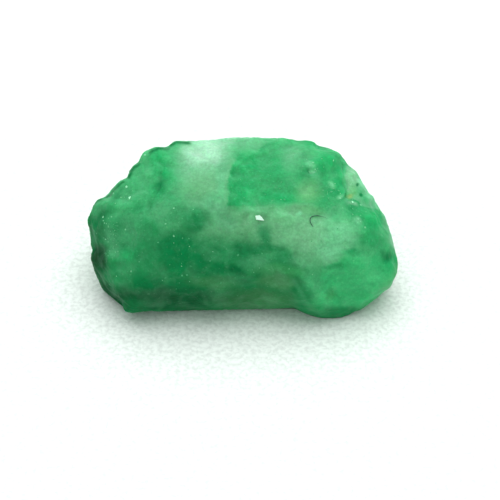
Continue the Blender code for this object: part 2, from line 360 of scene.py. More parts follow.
OUTLINE: Line = (
    (-7.05, 0.30), (-7.00, 0.45), (-6.85, 0.80), (-6.75, 1.12), (-6.55, 1.36), (-6.40, 1.37),
    (-6.10, 1.60), (-5.80, 1.90), (-5.57, 2.14), (-5.23, 2.28), (-5.10, 2.62), (-4.95, 2.84),
    (-4.71, 3.00), (-4.64, 3.20), (-4.50, 3.40), (-4.05, 3.65), (-3.83, 3.72), (-3.63, 3.67),
    (-3.46, 3.67), (-3.13, 3.92), (-2.98, 3.98), (-2.50, 3.96), (-1.50, 4.00), (-1.00, 4.03),
    (-0.80, 4.08), (-0.40, 4.10), (0.60, 4.12), (1.70, 4.10), (2.05, 4.07), (2.25, 4.02),
    (2.50, 3.98), (2.75, 4.00), (3.00, 3.97), (3.22, 3.90), (3.45, 3.75), (3.87, 3.65),
    (4.33, 3.45), (4.48, 3.30), (4.70, 2.93), (5.03, 2.66), (5.18, 2.50), (5.28, 2.28),
    (5.71, 1.61), (5.91, 1.44), (6.01, 1.22), (6.26, 0.79), (6.43, 0.59), (6.51, 0.34),
    (6.73, -0.31), (6.85, -0.83), (6.99, -1.44), (7.00, -1.79), (6.95, -2.14), (6.63, -2.72),
    (6.40, -2.87), (6.03, -3.20), (5.45, -3.65), (4.85, -3.93), (4.50, -4.08), (4.00, -4.15),
    (3.50, -4.13), (3.14, -4.04), (2.80, -3.93), (2.58, -3.80), (2.38, -3.70), (1.60, -3.67),
    (0.00, -3.69), (-1.95, -3.75), (-4.60, -3.84), (-5.03, -3.90), (-5.30, -3.84),
    (-5.54, -3.52), (-6.25, -2.94), (-6.40, -2.79), (-6.77, -1.96), (-6.90, -1.45),
    (-6.92, -1.20), (-6.85, -0.98), (-6.94, -0.50), (-7.00, 0.00),
)


@dataclass
class CrystalForm:
    """The crystal's outer shape, in millimetres round its middle.

    A wander, a warp and each part of the relief or hackle is its waves' size and their height,
    and a shift says where its waves start.

    Attributes:
        faces: The main faces, which the scoops, steps, grooves and pits are cut into.
        outline: The rim's corners, along u and up v.
        middle_height: How high the middle stands above the bench.
        front_bulge: How far the body swells out of the outline's plane, as back_bulge does behind.
        bulge_power: How boxy the swelling is: 2 is an egg, and more is boxier.
        edge_sharpness: How sharp the edges between the main faces are.
        toe_join: How sharp the crease between the toe and the prism is.
        toe_fade: How quickly the toe starts at its rim.
        fit_oval: The half sizes of the oval whose rim is divided into slots for the fit.
        fit_slots: How many slots that makes.
        fit_evened: How many slots next to each other are evened out.
        fit_inner: The share of the reach at which the stretching starts.
        mark_rim: The heights over which a mark fades in from the other half of the crystal.
        chip_heights: The least and the most that a chip looks up, as a sine.
        chip_bites: The least and the most that a chip takes off.
        chip_rounding: How far a chip's edge is rounded.
        least_facing: What keeps a face that looks away from cutting anything.
    """

    faces: tuple[Face, ...] = FACES
    scoops: tuple[Scoop, ...] = SCOOPS
    steps: tuple[Step, ...] = STEPS
    grooves: tuple[Groove, ...] = GROOVES
    pits: tuple[Pit, ...] = PITS
    outline: Line = OUTLINE
    middle_height: float = 3.0
    front_bulge: float = 3.6
    back_bulge: float = 3.75
    bulge_power: float = 2.4
    edge_sharpness: float = 9
    face_wander: Wander = (0.85, 0.055)
    face_shifts: tuple[float, ...] = (3, 7, 11)
    toe_join: float = 14
    toe_fade: float = 0.25
    toe_middle: Sizes = (4.60, -1.85, 0.00)
    toe_half_sizes: Sizes = (2.50, 2.25, 2.72)
    fit_oval: Spot = (7.0, 4.0)
    fit_slots: int = 320
    fit_evened: int = 3
    fit_inner: float = 0.35
    scoop_warp: Wander = (1.3, 0.20)
    mark_wander: Wander = (0.6, 0.12)
    mark_shift: float = 9
    mark_rim: Range = (-0.1, 0.5)
    chip_seed: int = 11
    chip_count: int = 170
    chip_wander: Wander = (0.12, 0.02)
    chip_shifts: tuple[float, ...] = (2, 5, 8)
    chip_heights: Range = (-0.95, 1)
    chip_bites: Range = (0.02, 0.14)
    chip_rounding: float = 0.06
    hackle: tuple[Wander, ...] = ((0.5, 0.03), (0.22, 0.02))
    hackle_shift: float = 20
    relief: tuple[Wander, ...] = (
        (2.6, 0.30), (1.2, 0.13), (0.55, 0.05), (0.26, 0.014), (0.13, 0.008),
    )
    least_facing: float = 1e-6

    def outline_reach(self, turn: np.ndarray) -> np.ndarray:
        """Measures the outline.

        Args:
            turn: Angles round the outline plane.

        Returns:
            How far the outline is from the middle at each angle.
        """
        corners = np.array(self.outline)
        corners = corners[np.argsort(np.arctan2(corners[:, 1], corners[:, 0]))]
        angles = np.arctan2(corners[:, 1], corners[:, 0])
        first = np.searchsorted(angles, turn) - 1
        start, end = corners[first], corners[(first + 1) % len(corners)]
        side = end - start
        ray = np.stack([np.cos(turn), np.sin(turn)], axis=1)
        return np.cross(start, side) / np.cross(ray, side)

    def body_reach(self, directions: np.ndarray) -> np.ndarray:
        """Measures the prism: a swelling outline, cut back by the main faces.

        Args:
            directions: One direction in each row.

        Returns:
            How far the prism's surface is from the middle along each.
        """
        u, v, w = (directions @ axis for axis in (U_AXIS, V_AXIS, W_AXIS))
        flat = np.hypot(u, v) / self.outline_reach(np.arctan2(v, u))
        bulge = np.where(w > 0, self.front_bulge, self.back_bulge)
        power = self.bulge_power
        swell = (flat**power + (np.abs(w) / bulge) ** power) ** (1 / power)
        crowding = swell**self.edge_sharpness
        astray = swayed(directions, self.face_wander, self.face_shifts)
        for face in self.faces:
            facing = np.maximum(astray @ unit(face.swing, face.lean), self.least_facing)
            crowding = crowding + (facing / face.distance) ** self.edge_sharpness
        return crowding ** (-1 / self.edge_sharpness)

    def toe_reach(self, directions: np.ndarray) -> np.ndarray:
        """Measures the toe, an egg shape.

        Args:
            directions: One direction in each row.

        Returns:
            How far the toe's far side is along each, or nought where a ray misses it.
        """
        uvw = np.stack([directions @ axis for axis in (U_AXIS, V_AXIS, W_AXIS)], axis=1)
        ray = uvw / np.array(self.toe_half_sizes)
        centre = np.array(self.toe_middle) / np.array(self.toe_half_sizes)
        length, along = (ray * ray).sum(1), ray @ centre
        inside = np.maximum(along * along - length * (centre @ centre - 1), 0)
        edge = ramp(inside / (along * along), 0, self.toe_fade)
        return edge * (along + np.sqrt(inside)) / length

    def scooped(self, points: np.ndarray, directions: np.ndarray, scoop: Scoop) -> np.ndarray:
        """Moves the points inside a scoop's ball back to its near side.

        Args:
            points: The surface's points.
            directions: The direction of each from the middle.
            scoop: The scoop to cut.

        Returns:
            The points with the scoop cut out.
        """
        looking = unit(scoop.swing, scoop.lean)
        nearest = np.argmax(points @ looking)
        middle = points[nearest] + looking * (scoop.radius - scoop.bite)
        along = directions @ middle
        inside = along**2 - (middle @ middle - scoop.radius**2)
        size, height = self.scoop_warp
        near = along - np.sqrt(np.maximum(inside, 0)) + waves(points, size) * height
        cut = (inside > 0) & (near < np.linalg.norm(points, axis=1)) & (near > 0)
        return np.where(cut[:, None], directions * near[:, None], points)

    def chipped(self, points: np.ndarray, directions: np.ndarray) -> np.ndarray:
        """Strikes small flat chips off the points wherever the surface swells.

        Args:
            points: The surface's points.
            directions: The direction of each from the middle.

        Returns:
            The points with the chips gone and the chips' edges rounded.
        """
        chooser = random.Random(self.chip_seed)
        reach = np.linalg.norm(points, axis=1)
        astray = swayed(directions, self.chip_wander, self.chip_shifts)
        for _ in range(self.chip_count):
            swing = chooser.uniform(0, 360)
            looking = unit(swing, math.degrees(math.asin(chooser.uniform(*self.chip_heights))))
            distance = (points @ looking).max() - chooser.uniform(*self.chip_bites)
            cut = distance / np.maximum(astray @ looking, self.least_facing)
            blunt = np.maximum(self.chip_rounding - np.abs(reach - cut), 0) ** 2
            reach = np.minimum(reach, cut) - blunt / (4 * self.chip_rounding)
        return directions * reach[:, None]

    def roughened(self, points: np.ndarray, directions: np.ndarray) -> np.ndarray:
        """Adds the lumps and hollows, from the largest to the finest.

        Args:
            points: The surface's points.
            directions: The direction of each from the middle.

        Returns:
            The points, raised and sunk.
        """
        heights = sum(height * waves(points, size) for size, height in self.relief)
        for size, depth in self.hackle:
            heights = heights - depth * np.abs(waves(points + self.hackle_shift, size))
        return points + directions * heights[:, None]

    def stray(self, points: np.ndarray) -> np.ndarray:
        """Gives how far the ledges and cracks at the points stray along u and v.

        Args:
            points: The surface's points.

        Returns:
            What is added to each point's u and v.
        """
        size, strength = self.mark_wander
        shifts = (self.mark_shift, -self.mark_shift)
        return np.stack([waves(points + shift, size) for shift in shifts], axis=1) * strength

    def marked(self, points: np.ndarray, directions: np.ndarray) -> np.ndarray:
        """Cuts the ledges, grooves and pits into the points.

        Args:
            points: The surface's points.
            directions: The direction of each from the middle.

        Returns:
            The points, sunk where a mark is.
        """
        uv = np.stack([points @ U_AXIS, points @ V_AXIS], axis=1) + self.stray(points)
        rim = {side: ramp(points @ W_AXIS * side.value, *self.mark_rim) for side in Side}
        depth = np.zeros(len(points))
        for step in self.steps:
            depth += step.drop * step.cover(uv) * rim[step.side]
        for groove in self.grooves:
            near = 1 - ramp(path_distance(uv, groove.line), 0, groove.width)
            depth += groove.depth * near * rim[groove.side]
        for pit in self.pits:
            near = 1 - ramp(np.hypot(uv[:, 0] - pit.u, uv[:, 1] - pit.v), 0, pit.radius)
            depth += pit.depth * near * rim[pit.side]
        return points - directions * depth[:, None]

    def fitted(self, points: np.ndarray) -> np.ndarray:
        """Stretches the points within the outline plane until the crystal's rim meets the outline.

        Args:
            points: The surface's points.

        Returns:
            The points, with those near the rim moved the most.
        """
        u, v, w = (points @ axis for axis in (U_AXIS, V_AXIS, W_AXIS))
        along, up = self.fit_oval
        turn, spread = np.arctan2(v / up, u / along), np.hypot(u, v)
        slot = ((turn / (2 * math.pi) + 0.5) * self.fit_slots).astype(int) % self.fit_slots
        widest = np.zeros(self.fit_slots)
        np.maximum.at(widest, slot, spread)
        middles = ((np.arange(self.fit_slots) + 0.5) / self.fit_slots - 0.5) * 2 * math.pi
        met = widest > 0
        widest = np.interp(middles, middles[met], widest[met], period=2 * math.pi)
        bearing = np.arctan2(up * np.sin(middles), along * np.cos(middles))
        wanted = self.outline_reach(bearing) / widest
        steps = range(-(self.fit_evened // 2), self.fit_evened // 2 + 1)
        wanted = np.mean([np.roll(wanted, step) for step in steps], axis=0)
        stretch = np.interp(turn, middles, wanted, period=2 * math.pi) - 1
        rim = np.interp(turn, middles, widest, period=2 * math.pi)
        stretch = 1 + stretch * ramp(spread / rim, self.fit_inner, 1)
        flat = (u * stretch)[:, None] * U_AXIS + (v * stretch)[:, None] * V_AXIS
        return flat + w[:, None] * W_AXIS

    def surface(self, directions: np.ndarray) -> np.ndarray:
        """Finds the crystal's surface.

        Args:
            directions: One direction from the middle in each row.

        Returns:
            The point of the surface along each, in millimetres round the middle.
        """
        body, toe = self.body_reach(directions), self.toe_reach(directions)
        joined = (body**self.toe_join + toe**self.toe_join) ** (1 / self.toe_join)
        points = directions * joined[:, None]
        for scoop in self.scoops:
            points = self.scooped(points, directions, scoop)
        points = self.fitted(self.roughened(self.chipped(points, directions), directions))
        return self.fitted(self.marked(points, directions))


@dataclass(frozen=True)
class Tint:
    """The colour of one place of the stone, as clear green, milky white and a warm stain; some marks use it
    for painted shade and painted glints.
    """

    clear: float
    milky: float
    warm: float = 0.0


class Tone(Enum):
    """The tones of the stone, from its darkest green to its milkiest white."""

    INK = Tint(0.1, 0)
    PINE = Tint(0.25, 0)
    FIR = Tint(0.3, 0)
    FERN = Tint(0.35, 0)
    LEAF = Tint(0.4, 0.05)
    GRASS = Tint(0.5, 0.05)
    VIVID = Tint(0.57, 0.03)
    SPRING = Tint(0.65, 0.1)
    GREEN = Tint(0.5, 0.15)
    SAGE = Tint(0.4, 0.15)
    FOG = Tint(0.35, 0.25, 0.05)
    CELADON = Tint(0.4, 0.3)
    MIST = Tint(0.35, 0.4, 0.05)
    MINT = Tint(0.5, 0.45)
    HAZE = Tint(0.25, 0.6)
    FROST = Tint(0, 1.2)
    MOSS = Tint(0.3, 0.05, 0.05)
    OLIVE = Tint(0.45, 0.05, 0.05)
    STRAW = Tint(0.45, 0.15, 0.1)
    RUST = Tint(0.25, 0.05, 0.35)


@dataclass(frozen=True)
class Ground:
    """How much of one part of a tint the plain stone has: more of it higher up, and in waves."""

    start: float
    rise: float
    sway: float
    size: float
    shift: float

    def amount(self, points: np.ndarray, height: np.ndarray) -> np.ndarray:
        """Gives the amount at each point, whose height runs from 0 at the foot to 1 at the top."""
        return self.start + self.rise * height + self.sway * waves(points + self.shift, self.size)


# Rising with height, these make the top paler and the foot darker: partly real, partly painted sheen and
# shade.
GROUNDS = {
    "clear": Ground(0.30, 0.20, 0.12, 2.1, -5),
    "milky": Ground(0.10, 0.22, 0.16, 1.7, 5),
    "warm": Ground(0.03, 0.0, 0.03, 1.9, 15),
}


@dataclass(frozen=True)
class View:
    """The camera's view of the stone, square to the plane of its largest outline.

    Sizes are in millimetres, and places are round the crystal's middle.
    """

    lens: float = 200
    sensor: float = 36
    pixel: float = 0.0452
    frame_side: int = 500
    middle_x: float = 243
    middle_y: float = 228

    @property
    def aim(self) -> np.ndarray:
        """Gives the place of the outline plane that is in the middle of the frame."""
        half = self.frame_side / 2
        return ((half - self.middle_x) * U_AXIS + (self.middle_y - half) * V_AXIS) * self.pixel

    @property
    def distance(self) -> float:
        """Gives how far the camera is from the outline plane."""
        return self.frame_side * self.pixel * self.lens / self.sensor

    @property
    def eye(self) -> np.ndarray:
        """Gives the camera's place."""
        return self.aim + self.distance * W_AXIS

    def seen(self, points: np.ndarray) -> np.ndarray:
        """Finds where the camera sees points.

        Args:
            points: One place in each row.

        Returns:
            Each point's pixel, as x across the frame and y down it.
        """
        away = points - self.eye
        scale = self.distance / self.pixel / -(away @ W_AXIS)
        half = self.frame_side / 2
        return np.stack([half + (away @ U_AXIS) * scale, half - (away @ V_AXIS) * scale], axis=1)

    def on_plane(self, pixels: np.ndarray) -> np.ndarray:
        """Finds the places of the outline plane that are seen at pixels, one in each row."""
        x, y = (pixels - self.frame_side / 2).T[:, :, None]
        return self.aim + (x * U_AXIS - y * V_AXIS) * self.pixel


class Skin:
    """The stone's front, looked up by the pixel that the camera sees it at.

    It is filed where it looks at least this much towards the camera, from 0 for its rim to 1. A
    pixel is carried on past the nearest filed point only over a gap of so many pixels, and only
    where the skin is turned enough to the camera.
    """

    least_turned: float = 0.1
    widest_gap: float = 1.5
    turned_enough: float = 0.3

    def __init__(self, points: np.ndarray, normals: np.ndarray, shift: Vector, view: View) -> None:
        """Files the points that face the camera by their pixels.

        Args:
            points: The stone's points, in millimetres round its middle.
            normals: The way that the surface looks at each.
            shift: Where the stone's middle stands, in metres.
            view: The camera's view of it.
        """
        self.points, self.normals, self.shift, self.view = points, normals, shift, view
        front = np.flatnonzero(normals @ W_AXIS > self.least_turned)
        self.tree = kdtree.KDTree(len(front))
        for index, (x, y) in zip(front, view.seen(points[front])):
            self.tree.insert((x, y, 0.0), index)
        self.tree.balance()

    def at(self, x: float, y: float) -> tuple[Vector, Vector]:
        """Finds the skin that is seen at a pixel, or the nearest of it where the pixel misses it.

        Args:
            x: Pixels across the frame.
            y: Pixels down it.

        Returns:
            The point on the skin, in metres, and the way that the skin looks there.
        """
        _, near, gap = self.tree.find((x, y, 0.0))
        point, normal = self.points[near], self.normals[near]
        if gap < self.widest_gap and normal @ W_AXIS > self.turned_enough:
            ray = self.view.on_plane(np.array([[x, y]]))[0] - self.view.eye
            point = self.view.eye + ray * ((point - self.view.eye) @ normal / (ray @ normal))
        return Vector(point) * MM + self.shift, Vector(normal)


@dataclass(frozen=True)
class Cloud:
    """A soft oval cloud in the stone, placed and measured in pixels of the frame; a few are painted shade,
    and a few painted glints.
    """

    name: str
    x: float
    y: float
    length: float
    width: float
    tone: Tone
    turn: float = 0.0
    softness: float = 0.7
    strength: float = 1.0

    @property
    def spots(self) -> Line:
        """Gives the pixel that places the cloud."""
        return ((self.x, self.y),)

    def cover(self, places: np.ndarray, spots: Line) -> np.ndarray:
        """Gives the share of each place that the cloud covers.

        Args:
            places: Where each point of the stone is seen.
            spots: The cloud's middle, moved to where the stone's own drift puts it.

        Returns:
            The shares, from 0 to the cloud's strength.
        """
        t = math.radians(self.turn)
        right, down = (places - np.array(spots[0])).T
        along = (right * math.cos(t) - down * math.sin(t)) / (self.length / 2)
        across = (down * math.cos(t) + right * math.sin(t)) / (self.width / 2)
        reach = np.hypot(along, across)
        return self.strength * (1 - ramp(reach, 1 - self.softness, 1 + self.softness))


@dataclass(frozen=True)
class Zone:
    """A growth zone or a facet with straight sides, fading over a width inside its outline.

    Where it has crisp sides, the first of its corners, it also dies away behind them. Its places
    and widths are in pixels of the frame.
    """

    name: str
    spots: Line
    fade: float
    tone: Tone
    strength: float = 1.0
    crisp_count: int = 0
    fall: float = 0.0

    def cover(self, places: np.ndarray, spots: Line) -> np.ndarray:
        """Gives the share of each place that the zone covers.

        Args:
            places: Where each point of the stone is seen.
            spots: The zone's corners, moved to where the stone's own drift puts them.

        Returns:
            The shares, from 0 to the zone's strength.
        """
        share = self.strength * ramp(within(places, spots), 0, self.fade)
        if self.crisp_count:
            away = path_distance(places, spots[: self.crisp_count])
            share = share * (1 - ramp(away, self.fade, self.fall))
        return share


@dataclass(frozen=True)
class Seam:
    """A narrow line in the stone, darker or milkier than what is round it, in pixels of the frame. Along
    the rim, some are painted shade and some painted light.
    """

    name: str
    spots: Line
    width: float
    tone: Tone
    strength: float = 1.0

    def cover(self, places: np.ndarray, spots: Line) -> np.ndarray:
        """Gives the share of each place that the seam covers.

        Args:
            places: Where each point of the stone is seen.
            spots: The seam's corners, moved to where the stone's own drift puts them.

        Returns:
            The shares, from 0 to the seam's strength.
        """
        return self.strength * (1 - ramp(path_distance(places, spots), 0, self.width))


MARKS: tuple[Cloud | Zone | Seam, ...] = (
    Cloud("left_body", 150, 212, 130, 110, Tone.GRASS, 0, 0.8),
    Cloud("lower_left", 180, 288, 190, 60, Tone.FIR),
    Cloud("lower_right", 280, 286, 90, 52, Tone.FIR),
    Cloud("right_body", 330, 195, 120, 120, Tone.GRASS, -30, 0.8),
    Cloud("top_left", 165, 165, 70, 50, Tone.GRASS, 40),
    Cloud("top_middle", 208, 172, 70, 84, Tone.CELADON),
    Cloud("top_right", 300, 155, 90, 50, Tone.GREEN, -15),
    Cloud("middle", 240, 226, 120, 40, Tone.FOG, 0, 0.8),
    Cloud("centre_pale", 312, 232, 62, 44, Tone.MIST, -20, 0.8),
    Cloud("left_middle", 140, 250, 90, 50, Tone.LEAF, 0, 0.8),
    Cloud("middle_low", 215, 258, 110, 34, Tone.FERN, 0, 0.8),
    Zone("toe", (
        (303, 292), (312, 276), (325, 263), (340, 251), (360, 246), (385, 243), (402, 255), (402, 280),
        (385, 300), (362, 316), (330, 322), (306, 320),
    ), 14, Tone.SPRING),
    Cloud("left_strip", 96, 226, 18, 64, Tone.FIR, 8, 0.6),
    Cloud("left_lobe", 103, 208, 26, 18, Tone.LEAF, 45, 0.6),
    Cloud("left_low", 106, 288, 34, 44, Tone.PINE, -40, 0.6),
    Cloud("sparkly_band", 110, 240, 14, 36, Tone.SAGE, -4, 0.6),
    Cloud("left_high", 122, 196, 44, 26, Tone.GREEN, 38),
    Cloud("left_green", 146, 178, 22, 34, Tone.GREEN, 20, 0.8),
    Cloud("left_vivid", 160, 168, 18, 44, Tone.VIVID, -14, 0.8),
    Cloud("left_vivid_spot", 160, 185, 10, 14, Tone.FERN, -20, 0.8, strength=0.7),
    Cloud("left_light", 178, 150, 26, 14, Tone.GREEN, 10),
    Cloud("left_grey", 164, 213, 26, 18, Tone.SAGE, 0, 0.8),
    Cloud("left_middle_vivid", 150, 229, 20, 12, Tone.LEAF, 0, 0.8),
    Cloud("left_middle_vivid_low", 143, 247, 22, 20, Tone.LEAF, 0, 0.8),
    Cloud("left_grey_low", 131, 227, 22, 22, Tone.SAGE, 0, 0.8, strength=0.7),
    Cloud("left_dark_spot", 117, 229, 9, 12, Tone.LEAF),
    Cloud("left_vivid_low", 125, 256, 22, 16, Tone.GRASS),
    Cloud("left_pale_low", 135, 268, 36, 12, Tone.LEAF),
    Cloud("left_low_middle", 140, 286, 50, 22, Tone.FERN),
    Cloud("pinkish", 115, 254, 8, 9, Tone.SAGE, 0, 0.6),
    Seam("left_curve", ((121, 189), (116, 198), (111, 207), (105, 214), (101, 222)), 7, Tone.LEAF, 0.8),
    # Painted shade: the dark band stands in for the shadow in a groove along the left end.
    Seam("left_dark_band", ((102, 214), (100, 228), (98, 240), (100, 254)), 10, Tone.PINE, 0.7),
    Cloud("brown_stain", 97, 262, 16, 34, Tone.INK, 8, 0.5),
    Cloud("stain_dark", 98, 266, 10, 20, Tone.INK, 0, 0.5),
    Cloud("low_dark", 115, 287, 12, 10, Tone.PINE, -30, 0.6),
    Seam("left_seam", ((160, 165), (161, 178), (160, 191)), 5, Tone.FERN, 0.35),
    Seam("left_seam_low", ((150, 203), (149, 211)), 5, Tone.FERN, 0.6),
    Cloud("blotch", 194, 216, 40, 22, Tone.LEAF, 0, 0.8),
    Cloud("blotch_low", 186, 248, 50, 34, Tone.FERN, 0, 0.8),
    Cloud("blotch_dark", 195, 228, 20, 14, Tone.FIR, 0, 0.8, strength=0.7),
    Cloud("milk_lower", 203, 187, 40, 34, Tone.FOG, 0, 0.8),
    Cloud("milk_wide", 202, 163, 46, 28, Tone.HAZE, 0, 0.8, strength=0.5),
    Cloud("milk_side", 190, 155, 22, 18, Tone.HAZE, strength=0.6),
    Cloud("milk_top", 225, 143, 40, 10, Tone.HAZE, 2, 0.6),
    Cloud("milk", 206, 151, 36, 24, Tone.FROST, -10, strength=0.7),
    Cloud("above_patch", 246, 144, 30, 9, Tone.CELADON, 0, 0.6),
    Cloud("pale_by_patch", 214, 203, 22, 20, Tone.CELADON),
    Cloud("pale_right_of_milk", 222, 178, 12, 36, Tone.CELADON),
    Zone("patch", (
        (225, 207), (226, 190), (228, 175), (231, 163), (235, 157), (243, 152), (252, 152), (258, 150),
        (262, 145), (268, 141), (300, 134), (330, 150), (320, 206), (260, 208),
    ), 3, Tone.GRASS, crisp_count=10, fall=80),
    Cloud("patch_vivid", 243, 195, 34, 24, Tone.VIVID, 0, 0.8),
    Cloud("patch_top", 248, 163, 26, 16, Tone.VIVID, 0, 0.8),
    Cloud("patch_low", 276, 197, 46, 12, Tone.VIVID, -4, 0.8),
    Cloud("patch_light", 270, 172, 24, 18, Tone.GRASS, 0, 0.8, strength=0.6),
    Cloud("patch_top_right", 276, 148, 22, 12, Tone.GREEN, -10, strength=0.7),
    Seam("patch_rim", ((231, 160), (228, 175), (226, 190), (225, 204)), 3, Tone.FOG, 0.4),
    Cloud("grey_green", 248, 218, 60, 16, Tone.FOG, 0, 0.8, strength=0.5),
    Cloud("grey_green_left", 226, 222, 24, 20, Tone.CELADON, 0, 0.8, strength=0.7),
    Cloud("dark_arc", 265, 236, 12, 22, Tone.LEAF, 20, 0.8),
    Seam("dark_arc_foot", ((238, 247), (252, 251), (268, 247), (282, 250)), 8, Tone.FERN, 0.8),
    Cloud("dark_arc_end", 284, 257, 18, 14, Tone.LEAF),
    Cloud("lens", 257, 261, 38, 12, Tone.SAGE, strength=0.7),
    Cloud("yellowish_band", 278, 268, 50, 10, Tone.OLIVE, -4, strength=0.8),
    Cloud("brownish", 276, 281, 34, 14, Tone.MOSS),
    Cloud("middle_pale_left", 222, 256, 24, 12, Tone.LEAF, 0, 0.8),
    # Painted shade along the foot, where the stone turns under towards the paper.
    Cloud("bottom_left", 170, 300, 90, 18, Tone.PINE),
    Cloud("bottom_dark", 162, 300, 70, 14, Tone.PINE, 0, 0.6),
    Cloud("bottom_grey", 212, 283, 44, 12, Tone.MOSS, -8, 0.8, strength=0.7),
    Cloud("bottom_middle_dark", 236, 271, 18, 9, Tone.PINE),
    Cloud("bottom_right", 256, 297, 70, 18, Tone.MOSS),
    Cloud("milky_green", 292, 154, 24, 24, Tone.CELADON, 0, 0.8, strength=0.8),
    Cloud("light_top", 296, 143, 22, 8, Tone.GREEN, -8, 0.6),
    Cloud("vivid_top", 312, 143, 22, 8, Tone.VIVID, -15, 0.6),
    Cloud("vivid_right", 326, 163, 22, 26, Tone.VIVID, -15),
    Cloud("vivid_dark_spot", 307, 174, 10, 9, Tone.LEAF),
    Cloud("green_right", 318, 180, 14, 12, Tone.GREEN),
    Cloud("right_mottle", 332, 188, 20, 24, Tone.GRASS, 0, 0.8),
    Cloud("yellow_green", 310, 192, 22, 18, Tone.STRAW, 0, 0.8),
    Cloud("grey_by_fibre", 298, 208, 26, 12, Tone.FOG, 0, 0.8),
    Cloud("yellow_grey", 310, 210, 20, 12, Tone.STRAW, 0, 0.8, strength=0.6),
    Seam("right_dark_band", ((338, 168), (341, 178), (343, 192)), 8, Tone.VIVID, 0.9),
    Zone("facet", (
        (345, 163), (351, 167), (361, 175), (368, 186), (374, 195), (381, 206), (379, 210), (370, 209),
        (360, 204), (352, 199), (346, 192),
    ), 1.6, Tone.CELADON),
    Cloud("facet_pale", 352, 178, 12, 20, Tone.MIST, -20),
    Cloud("facet_yellow", 353, 191, 10, 12, Tone.STRAW),
    Cloud("facet_low", 364, 197, 16, 7, Tone.GREEN, -40),
    Cloud("rust", 349.5, 196.5, 6, 5, Tone.RUST, 0, 0.6),
    Cloud("speck_dark_high", 357.6, 184.4, 3.6, 3.4, Tone.PINE, 0, 0.5),
    Cloud("speck_dark_low", 361, 195, 3.4, 3.2, Tone.FERN, 0, 0.5),
    Cloud("under_rust", 345, 202, 10, 8, Tone.GREEN),
    Cloud("mint", 342, 232, 32, 30, Tone.MINT, 0, 0.8),
    Cloud("mint_low", 330, 250, 26, 16, Tone.MINT, 0, 0.8),
    Cloud("right_grey", 338, 210, 16, 14, Tone.GREEN, 0, 0.8),
    Cloud("right_vivid", 374, 221, 24, 26, Tone.VIVID, 20),
    Cloud("right_vivid_high", 356, 212, 18, 12, Tone.GRASS),
    Cloud("right_vivid_low", 374, 243, 30, 20, Tone.GRASS, 0, 0.8),
    Cloud("rim_right", 389, 230, 8, 30, Tone.SAGE, 16, 0.6),
    Cloud("rim_dark", 396, 253, 6, 22, Tone.LEAF, 10, 0.6),
    Cloud("toe_vivid_patch", 356, 252, 24, 8, Tone.GRASS, 6),
    Cloud("toe_dark", 337, 266, 20, 6, Tone.GRASS),
    Cloud("toe_pale", 314, 286, 20, 24, Tone.GREEN, 0, 0.8),
    Cloud("toe_yellow", 330, 295, 14, 12, Tone.OLIVE, 0, 0.8, strength=0.7),
    Cloud("toe_right", 368, 284, 34, 26, Tone.SPRING, 0, 0.8),
    # Painted shade in the notch where the toe meets the body.
    Cloud("notch", 305, 304, 14, 26, Tone.FERN),
    Seam("crease", ((294, 281), (302, 294), (310, 306)), 5, Tone.SAGE, 0.6),
    # Painted shade along the toe's lower edge, where it turns under.
    Cloud("toe_edge", 336, 312, 72, 14, Tone.FERN),
    Cloud("toe_tip", 388, 264, 16, 26, Tone.VIVID),
    Cloud("tip_spots", 387, 257, 11, 10, Tone.FERN, 0, 0.6),
    # Painted shade: these dark lines stand in for the dark fringe along the stone's outline.
    Seam("rim_shade_top_left", ((171, 145), (176, 142), (182, 142.5), (189, 143)), 3.2, Tone.PINE, 0.95),
    Seam("rim_shade_shoulder", ((150, 153), (154, 150), (159, 148), (168, 149)), 3.2, Tone.PINE, 0.9),
    Seam("rim_shade_side", ((129, 177), (131, 171), (134, 167), (139, 164)), 3.2, Tone.PINE, 0.95),
    Seam("rim_shade_side_low", ((106, 197), (112, 193), (118, 186), (123, 182)), 3, Tone.PINE, 0.85),
    Seam("rim_shade_side_lobe", ((93, 205), (97, 201), (101, 199.5)), 3.5, Tone.PINE, 0.9),
    Seam("rim_shade_left_end", ((89, 218), (89.5, 226), (91, 236), (92, 248), (92, 256)), 4.5, Tone.PINE, 0.8),
    Seam("rim_shade_right", ((296, 140), (308, 142), (318, 146), (332, 150), (341, 157)), 3.5, Tone.LEAF, 0.7),
    # Painted shade along the lower left edge, which faces down, away from the light.
    Seam("lower_left_painted_shade", ((95, 270), (103, 284), (113, 295), (126, 304)), 15, Tone.PINE, 0.95),
    Seam("lower_left_edge_shade", ((93, 258), (95, 270), (102, 284), (112, 296), (124, 306)), 9, Tone.INK, 0.8),
    Cloud("lower_left_green", 122, 276, 26, 16, Tone.LEAF, 0, 0.8),
    Cloud("bottom_shade", 185, 299, 150, 18, Tone.INK, strength=0.5),
    Cloud("bottom_left_shade", 140, 296, 60, 22, Tone.INK, strength=0.35),
    # Painted shade in the lower left corner, by the paper.
    Cloud("corner_low", 133, 306, 34, 14, Tone.PINE, 10, strength=0.85),
    # Painted shade: a dark fringe along the outline of the left end.
    Seam("rim_shade_left_end_low", ((87, 224), (89, 235), (89, 250), (90, 262), (94, 275)), 4, Tone.INK, 0.7),
    # Painted light: pale lines where light shows through the thin right rim.
    Seam("rim_pale_right", ((360, 181), (368, 191), (375, 200), (380, 208)), 5, Tone.MINT, 0.7),
    Seam("rim_pale_right_low", ((384, 214), (389, 226), (392, 237), (394, 247)), 3, Tone.HAZE, 0.6),
    # Painted glints: these soft pale spots stand in for sparkles of light off the skin.
    Cloud("painted_glint_high", 311, 165, 9, 7, Tone.MINT, strength=0.6),
    Cloud("painted_glint_high_low", 312, 172, 7, 4, Tone.MINT, strength=0.8),
    Cloud("painted_glint_slope_top", 332, 185, 5, 5, Tone.MINT, strength=0.7),
    Cloud("painted_glint_slope", 340, 197, 6, 5, Tone.MINT, strength=0.7),
    Cloud("painted_glint_under_rust", 353, 203, 8, 4, Tone.HAZE, -20, strength=0.7),
